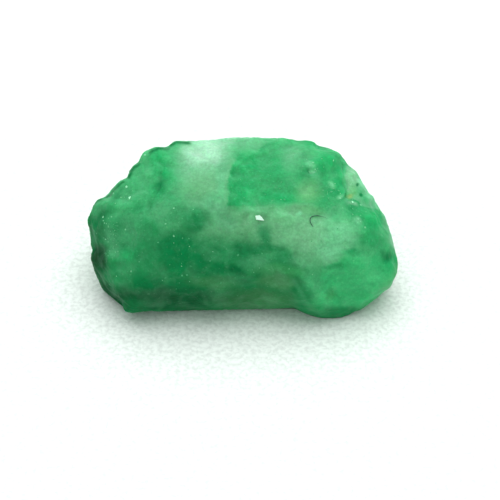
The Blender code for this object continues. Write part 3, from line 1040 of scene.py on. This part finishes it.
    Cloud("painted_glint_right", 358, 220, 6, 6, Tone.MINT, strength=0.7),
    Cloud("painted_glint_by_fibre", 300, 213, 6, 4, Tone.MINT, strength=0.8),
)


@dataclass(frozen=True)
class Mottle:
    """A cloudy pattern: the size of its lumps in metres, its detail, and how far it is twisted."""

    size: float
    detail: float = 2.0
    twist: float = 0.0


class Graph:
    """Adds shader nodes to a new material and links them."""

    def __init__(self, name: str) -> None:
        """Makes the material, with a Principled shader to feed.

        Args:
            name: What the material is called.
        """
        self.material = bpy.data.materials.new(name)
        self.material.use_nodes = True
        self.tree = self.material.node_tree
        self.shader = self.tree.nodes["Principled BSDF"]

    def feed(self, socket: Socket, value: Value) -> None:
        """Links a socket to another node's output, or sets its plain value.

        Args:
            socket: The socket to feed.
            value: Another node's output, or a plain value.
        """
        if isinstance(value, Socket):
            self.tree.links.new(value, socket)
        else:
            socket.default_value = value

    def finished(self, values: dict[str, Value]) -> bpy.types.Material:
        """Feeds the shader's sockets and gives the material.

        Args:
            values: What each of the shader's sockets gets, by its name.

        Returns:
            The finished material.
        """
        for name, value in values.items():
            self.feed(self.shader.inputs[name], value)
        return self.material

    def node(self, kind: str, feeds: dict[str | int, Value]) -> bpy.types.Node:
        """Adds a node and feeds its sockets.

        Args:
            kind: The node's kind, as Blender calls it, without its first word.
            feeds: What each socket gets, by its name or its number.

        Returns:
            The node.
        """
        made = self.tree.nodes.new("ShaderNode" + kind)
        for socket, value in feeds.items():
            self.feed(made.inputs[socket], value)
        return made

    def maths(self, operation: str, first: Value, second: Value) -> Socket:
        """Works out a sum or a product of two numbers.

        Args:
            operation: What is done with them, such as ADD or MULTIPLY.
            first: The first number.
            second: The second.

        Returns:
            The node's output.
        """
        made = self.node("Math", {0: first, 1: second})
        made.operation = operation
        return made.outputs[0]

    def mix(self, share: Value, first: Value, second: Value) -> Socket:
        """Mixes two colours by a share from 0 to 1, through the Mix node's colour sockets.

        Args:
            share: How much of the second colour there is.
            first: The colour at 0.
            second: The colour at 1.

        Returns:
            The mixed colour.
        """
        made = self.tree.nodes.new("ShaderNodeMix")
        made.data_type = "RGBA"
        first, second = ((*tint, 1) if isinstance(tint, tuple) else tint for tint in (first, second))
        for socket, value in ((0, share), (6, first), (7, second)):
            self.feed(made.inputs[socket], value)
        return made.outputs[2]

    def scaled(self, colour: Value, factor: Value) -> Socket:
        """Multiplies a colour by a number.

        Args:
            colour: The colour.
            factor: The number.

        Returns:
            The brighter or darker colour.
        """
        made = self.node("VectorMath", {0: colour})
        made.operation = "SCALE"
        self.feed(made.inputs["Scale"], factor)
        return made.outputs[0]

    def added(self, first: Value, second: Value) -> Socket:
        """Adds two colours."""
        return self.node("VectorMath", {0: first, 1: second}).outputs[0]

    def held(self, name: str) -> Socket:
        """Reads a value that the mesh holds at each point.

        Args:
            name: What the mesh calls it.

        Returns:
            The value.
        """
        made = self.node("Attribute", {})
        made.attribute_name = name
        return made.outputs["Fac"]

    def place(self) -> Socket:
        """Gives the piece's own coordinates."""
        return self.node("TexCoord", {}).outputs["Object"]

    def mottle(self, pattern: Mottle) -> Socket:
        """Draws a cloudy pattern.

        Args:
            pattern: What the pattern is like.

        Returns:
            The pattern's values, from 0 to 1.
        """
        return self.node("TexNoise", {
            "Vector": self.place(), "Scale": 1 / pattern.size, "Detail": pattern.detail,
            "Distortion": pattern.twist,
        }).outputs["Fac"]

    def cells(self, size: float) -> Socket:
        """Draws small wobbly faces, like those of a sugary crust.

        Args:
            size: How wide the faces are, in metres.

        Returns:
            The distance from the nearest face's middle, as a share of their size.
        """
        wobble = self.node("TexNoise", {"Vector": self.place(), "Scale": 1 / size})
        where = self.added(self.place(), self.scaled(wobble.outputs["Color"], size))
        return self.node("TexVoronoi", {"Vector": where, "Scale": 1 / size}).outputs["Distance"]

    def stretched(self, value: Socket, reach: Range, result: Range = WHOLE) -> Socket:
        """Maps a value from one range to another, smoothly and held within it.

        Args:
            value: The value.
            reach: The range that it comes from.
            result: The range that it goes to.

        Returns:
            The mapped value.
        """
        made = self.node("MapRange", {
            "Value": value, "From Min": reach[0], "From Max": reach[1], "To Min": result[0],
            "To Max": result[1],
        })
        made.interpolation_type = "SMOOTHSTEP"
        return made.outputs["Result"]

    def bump(
        self, height: Socket, distance: float, strength: float, under: Socket | None = None
    ) -> Socket:
        """Raises the skin by a pattern, on top of another relief where there is one.

        Args:
            height: The pattern.
            distance: How far its highest places stand out, in metres.
            strength: How much of that shows, from 0 to 1.
            under: The relief that it is laid on.

        Returns:
            The way that the raised skin looks.
        """
        made = self.node("Bump", {"Distance": distance, "Strength": strength, "Height": height})
        if under is not None:
            self.feed(made.inputs["Normal"], under)
        return made.outputs["Normal"]


@dataclass(frozen=True)
class BerylFinish:
    """Cloudy green beryl: clear green, milky clouds and warm stains under a frosted glassy skin.

    A cut is the stretch of a pattern's values that is spread over the range that follows it.
    """

    clear: Colour = (0.018, 0.57, 0.178)
    milky: Colour = (0.35, 0.58, 0.43)
    warm: Colour = (0.54, 0.58, 0.18)
    frost: Mottle = Mottle(0.11 * MM)
    frost_cut: Range = (0.60, 0.80)
    frost_milk: Range = (0.0, 0.10)
    wisps: Mottle = Mottle(0.8 * MM, 5.0, 0.5)
    wisps_cut: Range = (0.40, 0.70)
    wisps_milk: Range = (-0.02, 0.06)
    blotch: Mottle = Mottle(0.7 * MM, 5.0, 0.6)
    speckle: Mottle = Mottle(0.16 * MM, 3.0, 0.2)
    grain: Mottle = Mottle(0.08 * MM)
    shade_cut: Range = (0.25, 0.75)
    blotch_shade: Range = (0.92, 1.08)
    speckle_shade: Range = (0.92, 1.07)
    grain_shade: Range = (0.94, 1.05)
    rough_cut: Range = (0.3, 0.7)
    rough: Range = (0.50, 0.68)
    cell_size: float = 0.30 * MM
    cell_depth: float = 0.03 * MM
    speckle_depth: float = 0.014 * MM
    grain_depth: float = 0.005 * MM
    relief_strength: float = 0.5
    index: float = 1.58
    gloss: float = 0.06
    glow_share: float = 0.6
    glow_depth: float = 1.2 * MM
    glow_reach: Colour = (0.35, 1.0, 0.55)

    def make(self) -> bpy.types.Material:
        """Builds the material from the amounts that the mesh holds and from noise in the stone.

        Returns:
            The material.
        """
        graph = Graph("cloudy_beryl")
        blotch, speckle, grain = map(graph.mottle, (self.blotch, self.speckle, self.grain))
        amounts = {name: graph.held(name) for name in GROUNDS}
        frost = graph.stretched(graph.mottle(self.frost), self.frost_cut, self.frost_milk)
        wisps = graph.stretched(graph.mottle(self.wisps), self.wisps_cut, self.wisps_milk)
        amounts["milky"] = graph.maths("ADD", amounts["milky"], graph.maths("ADD", frost, wisps))
        clear, milky, warm = (graph.scaled(getattr(self, name), amount) for name, amount in amounts.items())
        shade = graph.stretched(blotch, self.shade_cut, self.blotch_shade)
        for pattern, result in ((speckle, self.speckle_shade), (grain, self.grain_shade)):
            shade = graph.maths("MULTIPLY", shade, graph.stretched(pattern, self.shade_cut, result))
        relief = graph.bump(graph.cells(self.cell_size), self.cell_depth, self.relief_strength)
        relief = graph.bump(speckle, self.speckle_depth, self.relief_strength, relief)
        return graph.finished({
            "Base Color": graph.scaled(graph.added(graph.added(clear, milky), warm), shade),
            "Roughness": graph.stretched(speckle, self.rough_cut, self.rough),
            "Normal": graph.bump(grain, self.grain_depth, self.relief_strength, relief),
            "IOR": self.index,
            "Specular IOR Level": self.gloss,
            "Subsurface Weight": self.glow_share,
            "Subsurface Radius": self.glow_reach,
            "Subsurface Scale": self.glow_depth,
        })


@dataclass
class EmeraldCrystal:
    """The stone itself: one closed mesh over the whole crystal, with its clouds and stains, and some marks
    of painted shade, painted light and painted glints.

    The marks drift a little in waves, each a size and how far it sways, and they fade out where
    the stone turns to the back, sooner below its middle by the sag.
    """

    form: CrystalForm = field(default_factory=CrystalForm)
    finish: BerylFinish = field(default_factory=BerylFinish)
    view: View = field(default_factory=View)
    marks: tuple[Cloud | Zone | Seam, ...] = MARKS
    cuts: int = 127
    half_sizes: Sizes = (7.0, 3.6, 3.0)
    crowd_to_front: float = 0.25
    drift: tuple[Wander, ...] = ((1.1, 0.22), (0.6, 0.10), (0.3, 0.05))
    drift_shift: float = 30
    ground_heights: Range = (-2.6, 2.8)
    mark_reach: Range = (-0.8, 0.0)
    mark_sag: float = 0.3
    skin: Skin | None = None

    def directions(self, mesh: bmesh.types.BMesh) -> np.ndarray:
        """Spreads a cube's points over all directions, a little closer together at the front.

        Args:
            mesh: The finely cut cube.

        Returns:
            One direction for each of its points.
        """
        cube = np.array([vert.co for vert in mesh.verts])
        even = np.tan(cube * math.pi / 4)
        even = even / np.linalg.norm(even, axis=1)[:, None] + self.crowd_to_front * W_AXIS
        even = even * np.array(self.half_sizes)
        return even / np.linalg.norm(even, axis=1)[:, None]

    def drifted(self, pixels: np.ndarray) -> np.ndarray:
        """Moves pixels a little, in waves, so that no mark is straight or too smooth.

        Args:
            pixels: One pixel in each row, as x and y.

        Returns:
            The moved pixels.
        """
        places = self.view.on_plane(pixels)
        shifts = (self.drift_shift, -self.drift_shift)
        drift = np.zeros(pixels.shape)
        for size, far in self.drift:
            drift += far * np.stack([waves(places + shift, size) for shift in shifts], axis=1)
        return pixels + drift / self.view.pixel

    def fields(self, points: np.ndarray) -> dict[str, np.ndarray]:
        """Works out what the stone is made of at each point, with the painted shade, light and glints of
        some marks.

        Args:
            points: The points, in millimetres round the crystal's middle.

        Returns:
            For each part of a tint, its amount at each point.
        """
        places = self.drifted(self.view.seen(points))
        height = ramp(points[:, 2], *self.ground_heights)
        amounts = {name: ground.amount(points, height) for name, ground in GROUNDS.items()}
        under = np.minimum(points @ V_AXIS, 0)
        front = ramp(points @ W_AXIS - self.mark_sag * under, *self.mark_reach)
        for mark in self.marks:
            spots = tuple(map(tuple, self.drifted(np.array(mark.spots))))
            cover = mark.cover(places, spots) * front
            for name, amount in amounts.items():
                amount += (getattr(mark.tone.value, name) - amount) * cover
        return amounts

    def stood(self, points: np.ndarray) -> Vector:
        """Gives the move that stands the stone's points where the solid stands, in metres.

        Args:
            points: The stone's points, in millimetres round its middle.

        Returns:
            Where the stone's middle stands, in metres.
        """
        low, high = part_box(NODE)
        middle = (points.min(axis=0) + points.max(axis=0)) / 2
        shift = Vector((low + high) / 2) - Vector(middle) * MM
        shift.z = self.form.middle_height * MM
        return shift

    def build(self) -> bpy.types.Object:
        """Makes the stone in place of the solid, and keeps its skin for what lies on it.

        Returns:
            The stone.
        """
        mesh = bmesh.new()
        bmesh.ops.create_cube(mesh, size=2)
        bmesh.ops.subdivide_edges(mesh, edges=mesh.edges[:], cuts=self.cuts, use_grid_fill=True)
        points = self.form.surface(self.directions(mesh))
        bench = -self.form.middle_height
        points *= np.where(points[:, 2] < bench, bench / points[:, 2], 1)[:, None]
        shift = self.stood(points)
        for vert, point in zip(mesh.verts, points):
            vert.co = Vector(point) * MM + shift
        for face in mesh.faces:
            face.smooth = True
        mesh.normal_update()
        self.skin = Skin(points, np.array([vert.normal for vert in mesh.verts]), shift, self.view)
        stone = placed("emerald_stone", mesh, self.finish.make())
        for name, values in self.fields(points).items():
            held = stone.data.attributes.new(name, "FLOAT", "POINT")
            held.data.foreach_set("value", values.astype(np.float32))
        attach(stone, BODY)
        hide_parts(NODE)
        LOG.info("emerald_stone: %d faces", len(stone.data.polygons))
        return stone


class Catch(float, Enum):
    """How bright a flake's painted glint is, as a share of the brightest."""

    FAINT = 0.1
    SOFT = 0.3
    BRIGHT = 0.55
    STRONG = 0.8
    WHITE = 1.0


@dataclass(frozen=True)
class Glint:
    """A single crystal face or flake, at a pixel of the frame, as wide as its millimetres say."""

    x: float
    y: float
    width: float
    catch: float


@dataclass(frozen=True)
class Sparkle:
    """An oval patch of the skin with many fine glints, placed and measured in pixels of the frame."""

    name: str
    x: float
    y: float
    length: float
    width: float
    count: int


# The single flakes that can be told apart, by the part of the stone that they are on.
GLINTS = {
    "left_shoulder": (
        Glint(130, 197.9, 0.15, Catch.STRONG), Glint(126.5, 186.9, 0.12, Catch.BRIGHT),
        Glint(113.5, 193.5, 0.10, Catch.SOFT), Glint(121, 197.5, 0.08, Catch.SOFT),
        Glint(145, 155, 0.10, Catch.BRIGHT),
    ),
    "left_end": (
        Glint(103, 217, 0.10, Catch.BRIGHT), Glint(111.6, 216.9, 0.08, Catch.SOFT),
        Glint(103.4, 220.6, 0.07, Catch.SOFT), Glint(104.6, 223, 0.08, Catch.SOFT),
        Glint(125.6, 229.6, 0.09, Catch.SOFT), Glint(105.6, 239.4, 0.08, Catch.SOFT),
        Glint(112.9, 235, 0.08, Catch.FAINT),
    ),
    "left_belly": (
        Glint(165.6, 223.7, 0.10, Catch.SOFT), Glint(173.7, 208, 0.10, Catch.SOFT),
        Glint(151.5, 209.4, 0.08, Catch.FAINT), Glint(174, 235.9, 0.10, Catch.SOFT),
        Glint(182.5, 238, 0.09, Catch.FAINT), Glint(189, 238.5, 0.07, Catch.FAINT),
        Glint(158, 242.5, 0.08, Catch.FAINT),
    ),
    "left_foot": (
        Glint(131, 271, 0.11, Catch.SOFT), Glint(110, 285, 0.10, Catch.FAINT),
        Glint(93.5, 267.5, 0.08, Catch.SOFT), Glint(106, 254, 0.07, Catch.FAINT),
        Glint(182, 275.6, 0.11, Catch.FAINT), Glint(187, 275, 0.11, Catch.FAINT),
    ),
    "middle": (
        Glint(210, 261, 0.08, Catch.FAINT), Glint(238, 255, 0.11, Catch.FAINT),
        Glint(262, 253.5, 0.08, Catch.FAINT), Glint(281.2, 182.2, 0.09, Catch.FAINT),
        Glint(284.4, 199.4, 0.08, Catch.FAINT), Glint(300, 213.5, 0.13, Catch.SOFT),
        Glint(310, 215, 0.08, Catch.FAINT),
    ),
    "top_right": (
        Glint(306.9, 159.4, 0.09, Catch.SOFT), Glint(313, 162.5, 0.11, Catch.SOFT),
        Glint(321.9, 158.7, 0.08, Catch.SOFT), Glint(333.5, 160.6, 0.12, Catch.BRIGHT),
        Glint(310, 171.9, 0.11, Catch.SOFT), Glint(313.7, 172.5, 0.11, Catch.SOFT),
        Glint(317.5, 168.7, 0.07, Catch.FAINT),
    ),
    "under_top_right": (
        Glint(315.6, 190.6, 0.08, Catch.FAINT), Glint(332.5, 185, 0.11, Catch.SOFT),
        Glint(331.2, 191.5, 0.09, Catch.FAINT), Glint(338.7, 190.6, 0.09, Catch.FAINT),
        Glint(340, 198, 0.11, Catch.SOFT), Glint(328.7, 198, 0.08, Catch.FAINT),
    ),
    "right_slope": (
        Glint(352.6, 202, 0.14, Catch.STRONG), Glint(360.7, 205, 0.10, Catch.SOFT),
        Glint(358, 219, 0.12, Catch.SOFT), Glint(360.5, 221.5, 0.10, Catch.SOFT),
        Glint(365, 227.5, 0.09, Catch.SOFT), Glint(337.5, 228.7, 0.08, Catch.FAINT),
    ),
    "toe": (
        Glint(321, 241, 0.08, Catch.FAINT), Glint(320, 247, 0.09, Catch.SOFT),
        Glint(351, 241, 0.08, Catch.SOFT), Glint(345, 303, 0.07, Catch.FAINT),
    ),
}
# Where fine glints crowd together.
SPARKLES = (
    Sparkle("left_end", 111, 237, 20, 44, 60),
    Sparkle("left_shoulder", 126, 197, 22, 18, 12),
    Sparkle("top_right", 316, 168, 32, 24, 14),
    Sparkle("under_top_right", 330, 190, 26, 26, 22),
    Sparkle("right_slope", 352, 210, 36, 32, 26),
    Sparkle("left_foot", 190, 263, 136, 58, 26),
    Sparkle("everywhere", 243, 228, 270, 144, 50),
)


@dataclass(frozen=True)
class FlakeFinish:
    """Glassy crystal faces with painted glints, nearly white where they are set to catch the light."""

    dull: Colour = (0.05, 0.34, 0.14)
    bright: Colour = (0.42, 0.94, 0.60)
    white: Colour = (0.72, 0.94, 0.82)
    bright_cut: Range = (0.0, 0.8)
    white_cut: Range = (0.8, 0.95)
    cloud: Mottle = Mottle(0.04 * MM)
    cloud_cut: Range = (0.35, 0.65)
    cloud_shade: Range = (0.9, 1.0)
    scratches: Mottle = Mottle(0.02 * MM)
    scratch_depth: float = 0.002 * MM
    scratch_strength: float = 0.3
    rough: float = 0.35
    shine: float = 0.2

    def make(self) -> bpy.types.Material:
        """Builds the material, with each flake's colour painted as bright as the light it is set to catch.

        Returns:
            The material.
        """
        graph = Graph("painted_glint_flakes")
        cloudy = graph.stretched(graph.mottle(self.cloud), self.cloud_cut, self.cloud_shade)
        catch = graph.maths("MULTIPLY", graph.held("catch"), cloudy)
        colour = graph.mix(graph.stretched(catch, self.bright_cut), self.dull, self.bright)
        scratches = graph.mottle(self.scratches)
        return graph.finished({
            "Base Color": graph.mix(graph.stretched(catch, self.white_cut), colour, self.white),
            "Normal": graph.bump(scratches, self.scratch_depth, self.scratch_strength),
            "Roughness": self.rough,
            "Specular IOR Level": self.shine,
        })


@dataclass
class SurfaceFlakes:
    """Small flat flakes and crystal faces on the frosted skin, with their glints painted in.

    Sizes are in millimetres. The tilt and the crowding are the spreads of random draws, and the
    ranges of a corner are shares of the turn between two corners and of the flake's half width.
    """

    finish: FlakeFinish = field(default_factory=FlakeFinish)
    glints: dict[str, tuple[Glint, ...]] = field(default_factory=lambda: GLINTS)
    sparkles: tuple[Sparkle, ...] = SPARKLES
    seed: int = 23
    thickness: float = 0.016
    tilt: float = 0.25
    corner_counts: tuple[int, int] = (4, 6)
    corner_turn: Range = (-0.25, 0.25)
    corner_reach: Range = (0.75, 1.15)
    crowding: float = 0.25
    fine_sizes: Range = (0.025, 0.055)
    fine_catch: Range = (0.0, 0.4)
    large: Line = ((255, 215.6), (259.5, 215.2), (261.5, 216.8), (264.2, 220.6), (260, 220), (256, 219.4))
    large_layers: int = 3

    def plate(self, mesh: bmesh.types.BMesh, low: list[Vector], off: Vector, catch: float) -> None:
        """Closes a flat plate between a ring of corners and the same ring moved off it.

        Args:
            mesh: The mesh that the plate is added to.
            low: The corners of the plate's underside.
            off: How far its upper side is moved from them.
            catch: How much light it catches.
        """
        rings = [[mesh.verts.new(corner + step) for corner in low] for step in (Vector(), off)]
        held = mesh.verts.layers.float["catch"]
        for vert in rings[0] + rings[1]:
            vert[held] = catch
        mesh.faces.new(rings[1])
        mesh.faces.new(rings[0][::-1])
        for k in range(len(low)):
            j = (k + 1) % len(low)
            mesh.faces.new((rings[0][k], rings[0][j], rings[1][j], rings[1][k]))

    def flake(self, mesh: bmesh.types.BMesh, skin: Skin, glint: Glint, chooser: random.Random) -> None:
        """Sets one many-cornered flake on the skin, a little tilted, half sunk in.

        Args:
            mesh: The mesh that the flake is added to.
            skin: The stone's skin.
            glint: Where the flake is, and what it is like.
            chooser: Where its random draws come from.
        """
        point, normal = skin.at(glint.x, glint.y)
        lean = Vector([chooser.gauss(0, self.tilt) for _ in range(3)])
        normal = (normal + lean).normalized()
        right = normal.orthogonal().normalized()
        ahead = normal.cross(right)
        corners = chooser.randint(*self.corner_counts)
        start = chooser.uniform(0, 2 * math.pi)
        low = []
        for k in range(corners):
            turn = start + 2 * math.pi * (k + chooser.uniform(*self.corner_turn)) / corners
            reach = 0.5 * glint.width * MM * chooser.uniform(*self.corner_reach)
            low.append(point + (right * math.cos(turn) + ahead * math.sin(turn)) * reach)
        off = normal * self.thickness * MM
        self.plate(mesh, [corner - off / 2 for corner in low], off, glint.catch)

    def scatter(self, mesh: bmesh.types.BMesh, skin: Skin, chooser: random.Random) -> None:
        """Scatters the fine flakes over each sparkling patch.

        Args:
            mesh: The mesh that they are added to.
            skin: The stone's skin.
            chooser: Where the random draws come from.
        """
        for sparkle in self.sparkles:
            for _ in range(sparkle.count):
                x = sparkle.x + sparkle.length * chooser.gauss(0, self.crowding)
                y = sparkle.y + sparkle.width * chooser.gauss(0, self.crowding)
                width, catch = chooser.uniform(*self.fine_sizes), chooser.uniform(*self.fine_catch)
                self.flake(mesh, skin, Glint(x, y, width, catch), chooser)

    def lay_large(self, mesh: bmesh.types.BMesh, skin: Skin) -> None:
        """Lays the one large white flake flat on the skin.

        Args:
            mesh: The mesh that it is added to.
            skin: The stone's skin.
        """
        low = [skin.at(x, y)[0] for x, y in reversed(self.large)]
        middle = sum(low, Vector()) / len(low)
        normal = skin.at(*np.mean(self.large, axis=0))[1]
        flat = [corner - normal * normal.dot(corner - middle) for corner in low]
        self.plate(mesh, flat, normal * self.large_layers * self.thickness * MM, Catch.WHITE)

    def build(self, skin: Skin) -> bpy.types.Object:
        """Sets each glint in its place, then the fine flakes and the large one.

        Args:
            skin: The stone's skin.

        Returns:
            All the flakes, as one piece.
        """
        chooser = random.Random(self.seed)
        mesh = bmesh.new()
        mesh.verts.layers.float.new("catch")
        for glints in self.glints.values():
            for glint in glints:
                self.flake(mesh, skin, glint, chooser)
        self.scatter(mesh, skin, chooser)
        self.lay_large(mesh, skin)
        bmesh.ops.recalc_face_normals(mesh, faces=mesh.faces)
        flakes = placed("emerald_flakes", mesh, self.finish.make())
        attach(flakes, BODY)
        LOG.info("emerald_flakes: %d faces", len(flakes.data.polygons))
        return flakes


@dataclass(frozen=True)
class LintFinish:
    """Dark blue-green textile lint, darker and lighter along the fibre."""

    dark: Colour = (0.006, 0.03, 0.026)
    light: Colour = (0.02, 0.09, 0.07)
    patches: Mottle = Mottle(0.1 * MM, 3.0)
    patches_cut: Range = (0.3, 0.7)
    fuzz: Mottle = Mottle(0.01 * MM)
    fuzz_depth: float = 0.001 * MM
    fuzz_strength: float = 0.4
    rough: float = 0.7

    def make(self) -> bpy.types.Material:
        """Builds the material.

        Returns:
            The material.
        """
        graph = Graph("textile_lint")
        share = graph.stretched(graph.mottle(self.patches), self.patches_cut)
        return graph.finished({
            "Base Color": graph.mix(share, self.dark, self.light),
            "Normal": graph.bump(graph.mottle(self.fuzz), self.fuzz_depth, self.fuzz_strength),
            "Roughness": self.rough,
        })


@dataclass
class LintFibre:
    """A hooked fibre of lint that lies on the front of the stone and thins out to one side.

    Each point of its path is a pixel of the frame and the share of its full thickness there.
    """

    finish: LintFinish = field(default_factory=LintFinish)
    thickness: float = 0.036
    lift: float = 0.02
    round_cuts: int = 3
    stretch_cuts: int = 8
    path: tuple[Sizes, ...] = (
        (313, 227, 0.55), (311.6, 225, 0.9), (310.5, 222.8, 1.0), (310, 220.5, 1.0), (310.4, 218.5, 1.0),
        (312, 216.9, 1.0), (315, 216.2, 1.0), (318.9, 216.2, 0.8), (323, 217, 0.25), (328, 218.7, 0.15),
    )

    def guide(self, skin: Skin) -> bpy.types.Object:
        """Draws the fibre's path over the skin, as a curve with its thickness.

        Args:
            skin: The stone's skin.

        Returns:
            The curve.
        """
        curve = bpy.data.curves.new("lint_path", "CURVE")
        curve.dimensions = "3D"
        curve.bevel_depth = self.thickness / 2 * MM
        curve.bevel_resolution = self.round_cuts
        curve.resolution_u = self.stretch_cuts
        curve.use_fill_caps = True
        spline = curve.splines.new("BEZIER")
        spline.bezier_points.add(len(self.path) - 1)
        for knot, (x, y, share) in zip(spline.bezier_points, self.path):
            point, normal = skin.at(x, y)
            knot.co = point + normal * (self.lift + self.thickness / 2 * share) * MM
            knot.radius = share
            knot.handle_left_type = knot.handle_right_type = "AUTO"
        guide = bpy.data.objects.new("lint_path", curve)
        bpy.context.scene.collection.objects.link(guide)
        return guide

    def build(self, skin: Skin) -> bpy.types.Object:
        """Lays the fibre over the skin, as a tube through its path.

        Args:
            skin: The stone's skin.

        Returns:
            The fibre.
        """
        guide = self.guide(skin)
        evaluated = guide.evaluated_get(bpy.context.evaluated_depsgraph_get())
        data = bpy.data.meshes.new_from_object(evaluated)
        bpy.data.objects.remove(guide)
        mesh = bmesh.new()
        mesh.from_mesh(data)
        fibre = placed("lint_fibre", mesh, self.finish.make())
        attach(fibre, BODY)
        LOG.info("lint_fibre: %d faces", len(fibre.data.polygons))
        return fibre


@dataclass(frozen=True)
class PaperFinish:
    """White paper with a faint tooth, and painted shade that makes it a little darker in its hollows."""

    white: Colour = (0.90, 0.92, 0.91)
    hollow_shade_share: float = 0.82
    tooth: Mottle = Mottle(0.20 * MM, 5.0, 0.3)
    tooth_cut: Range = (0.3, 0.65)
    tooth_depth: float = 0.03 * MM
    tooth_strength: float = 0.6
    rough: float = 0.95
    shine: float = 0.1

    def make(self) -> bpy.types.Material:
        """Builds the material.

        Returns:
            The material.
        """
        graph = Graph("white_paper")
        tooth = graph.mottle(self.tooth)
        # Painted shade: the tooth's hollows get a darker white.
        hollow = tuple(self.hollow_shade_share * part for part in self.white)
        return graph.finished({
            "Base Color": graph.mix(graph.stretched(tooth, self.tooth_cut), hollow, self.white),
            "Normal": graph.bump(tooth, self.tooth_depth, self.tooth_strength),
            "Roughness": self.rough,
            "Specular IOR Level": self.shine,
        })


@dataclass
class Studio:
    """The paper that the stone lies on, the softbox, the white room round it and the camera."""

    paper: PaperFinish = field(default_factory=PaperFinish)
    paper_side: float = 0.8
    softbox_side: float = 0.20
    softbox_distance: float = 0.15
    softbox_aim: float = 3 * MM
    softbox_lean: float = 76
    softbox_swing: float = 166
    softbox_watts: float = 0.26
    room_colour: Colour = (0.87, 1.0, 0.93)
    room_strength: float = 0.70
    nearest: float = 1 * MM
    view: View = field(default_factory=View)

    def aimed(self, made: bpy.types.Object, place: Vector, at: Vector) -> bpy.types.Object:
        """Puts an object at a place, looking at a point, and adds it to the scene.

        Args:
            made: The lamp or the camera.
            place: Where it stands.
            at: What it looks at.

        Returns:
            The same object.
        """
        made.location = place
        made.rotation_mode = "QUATERNION"
        made.rotation_quaternion = (at - place).to_track_quat("-Z", "Y")
        bpy.context.scene.collection.objects.link(made)
        return made

    def lay_paper(self) -> bpy.types.Object:
        """Lays a flat sheet of the paper.

        Returns:
            The sheet.
        """
        mesh = bmesh.new()
        bmesh.ops.create_grid(mesh, x_segments=2, y_segments=2, size=self.paper_side / 2)
        paper = placed("paper", mesh, self.paper.make())
        return paper

    def light(self) -> None:
        """Hangs the softbox behind and above, and makes everything round it white."""
        world = bpy.data.worlds.new("white_room")
        world.use_nodes = True
        ground = world.node_tree.nodes["Background"]
        ground.inputs["Color"].default_value = (*self.room_colour, 1)
        ground.inputs["Strength"].default_value = self.room_strength
        bpy.context.scene.world = world
        lamp = bpy.data.lights.new("softbox", "AREA")
        lamp.size = self.softbox_side
        lamp.energy = self.softbox_watts
        away = Vector(unit(self.softbox_swing, self.softbox_lean))
        box = bpy.data.objects.new("softbox", lamp)
        self.aimed(box, away * self.softbox_distance, Vector((0, 0, self.softbox_aim)))

    def set_camera(self, shift: Vector) -> None:
        """Sets the camera so that the stone's middle falls on its pixel of the frame.

        Args:
            shift: Where the stone's middle stands, in metres.
        """
        data = bpy.data.cameras.new("camera")
        data.lens = self.view.lens
        data.sensor_width = self.view.sensor
        data.clip_start = self.nearest
        eye, aim = (Vector(place) * MM + shift for place in (self.view.eye, self.view.aim))
        camera = bpy.data.objects.new("camera", data)
        self.aimed(camera, eye, aim)
        bpy.context.scene.camera = camera
        bpy.context.scene.view_settings.view_transform = "Standard"


def main() -> None:
    """Builds the stone and the studio, and reports each piece."""
    logging.basicConfig(level=logging.INFO, format="%(name)s: %(message)s")
    crystal = EmeraldCrystal()
    crystal.build()
    SurfaceFlakes().build(crystal.skin)
    LintFibre().build(crystal.skin)
    studio = Studio(view=crystal.view)
    studio.lay_paper()
    studio.light()
    studio.set_camera(crystal.skin.shift)


if __name__ == "__main__":
    main()
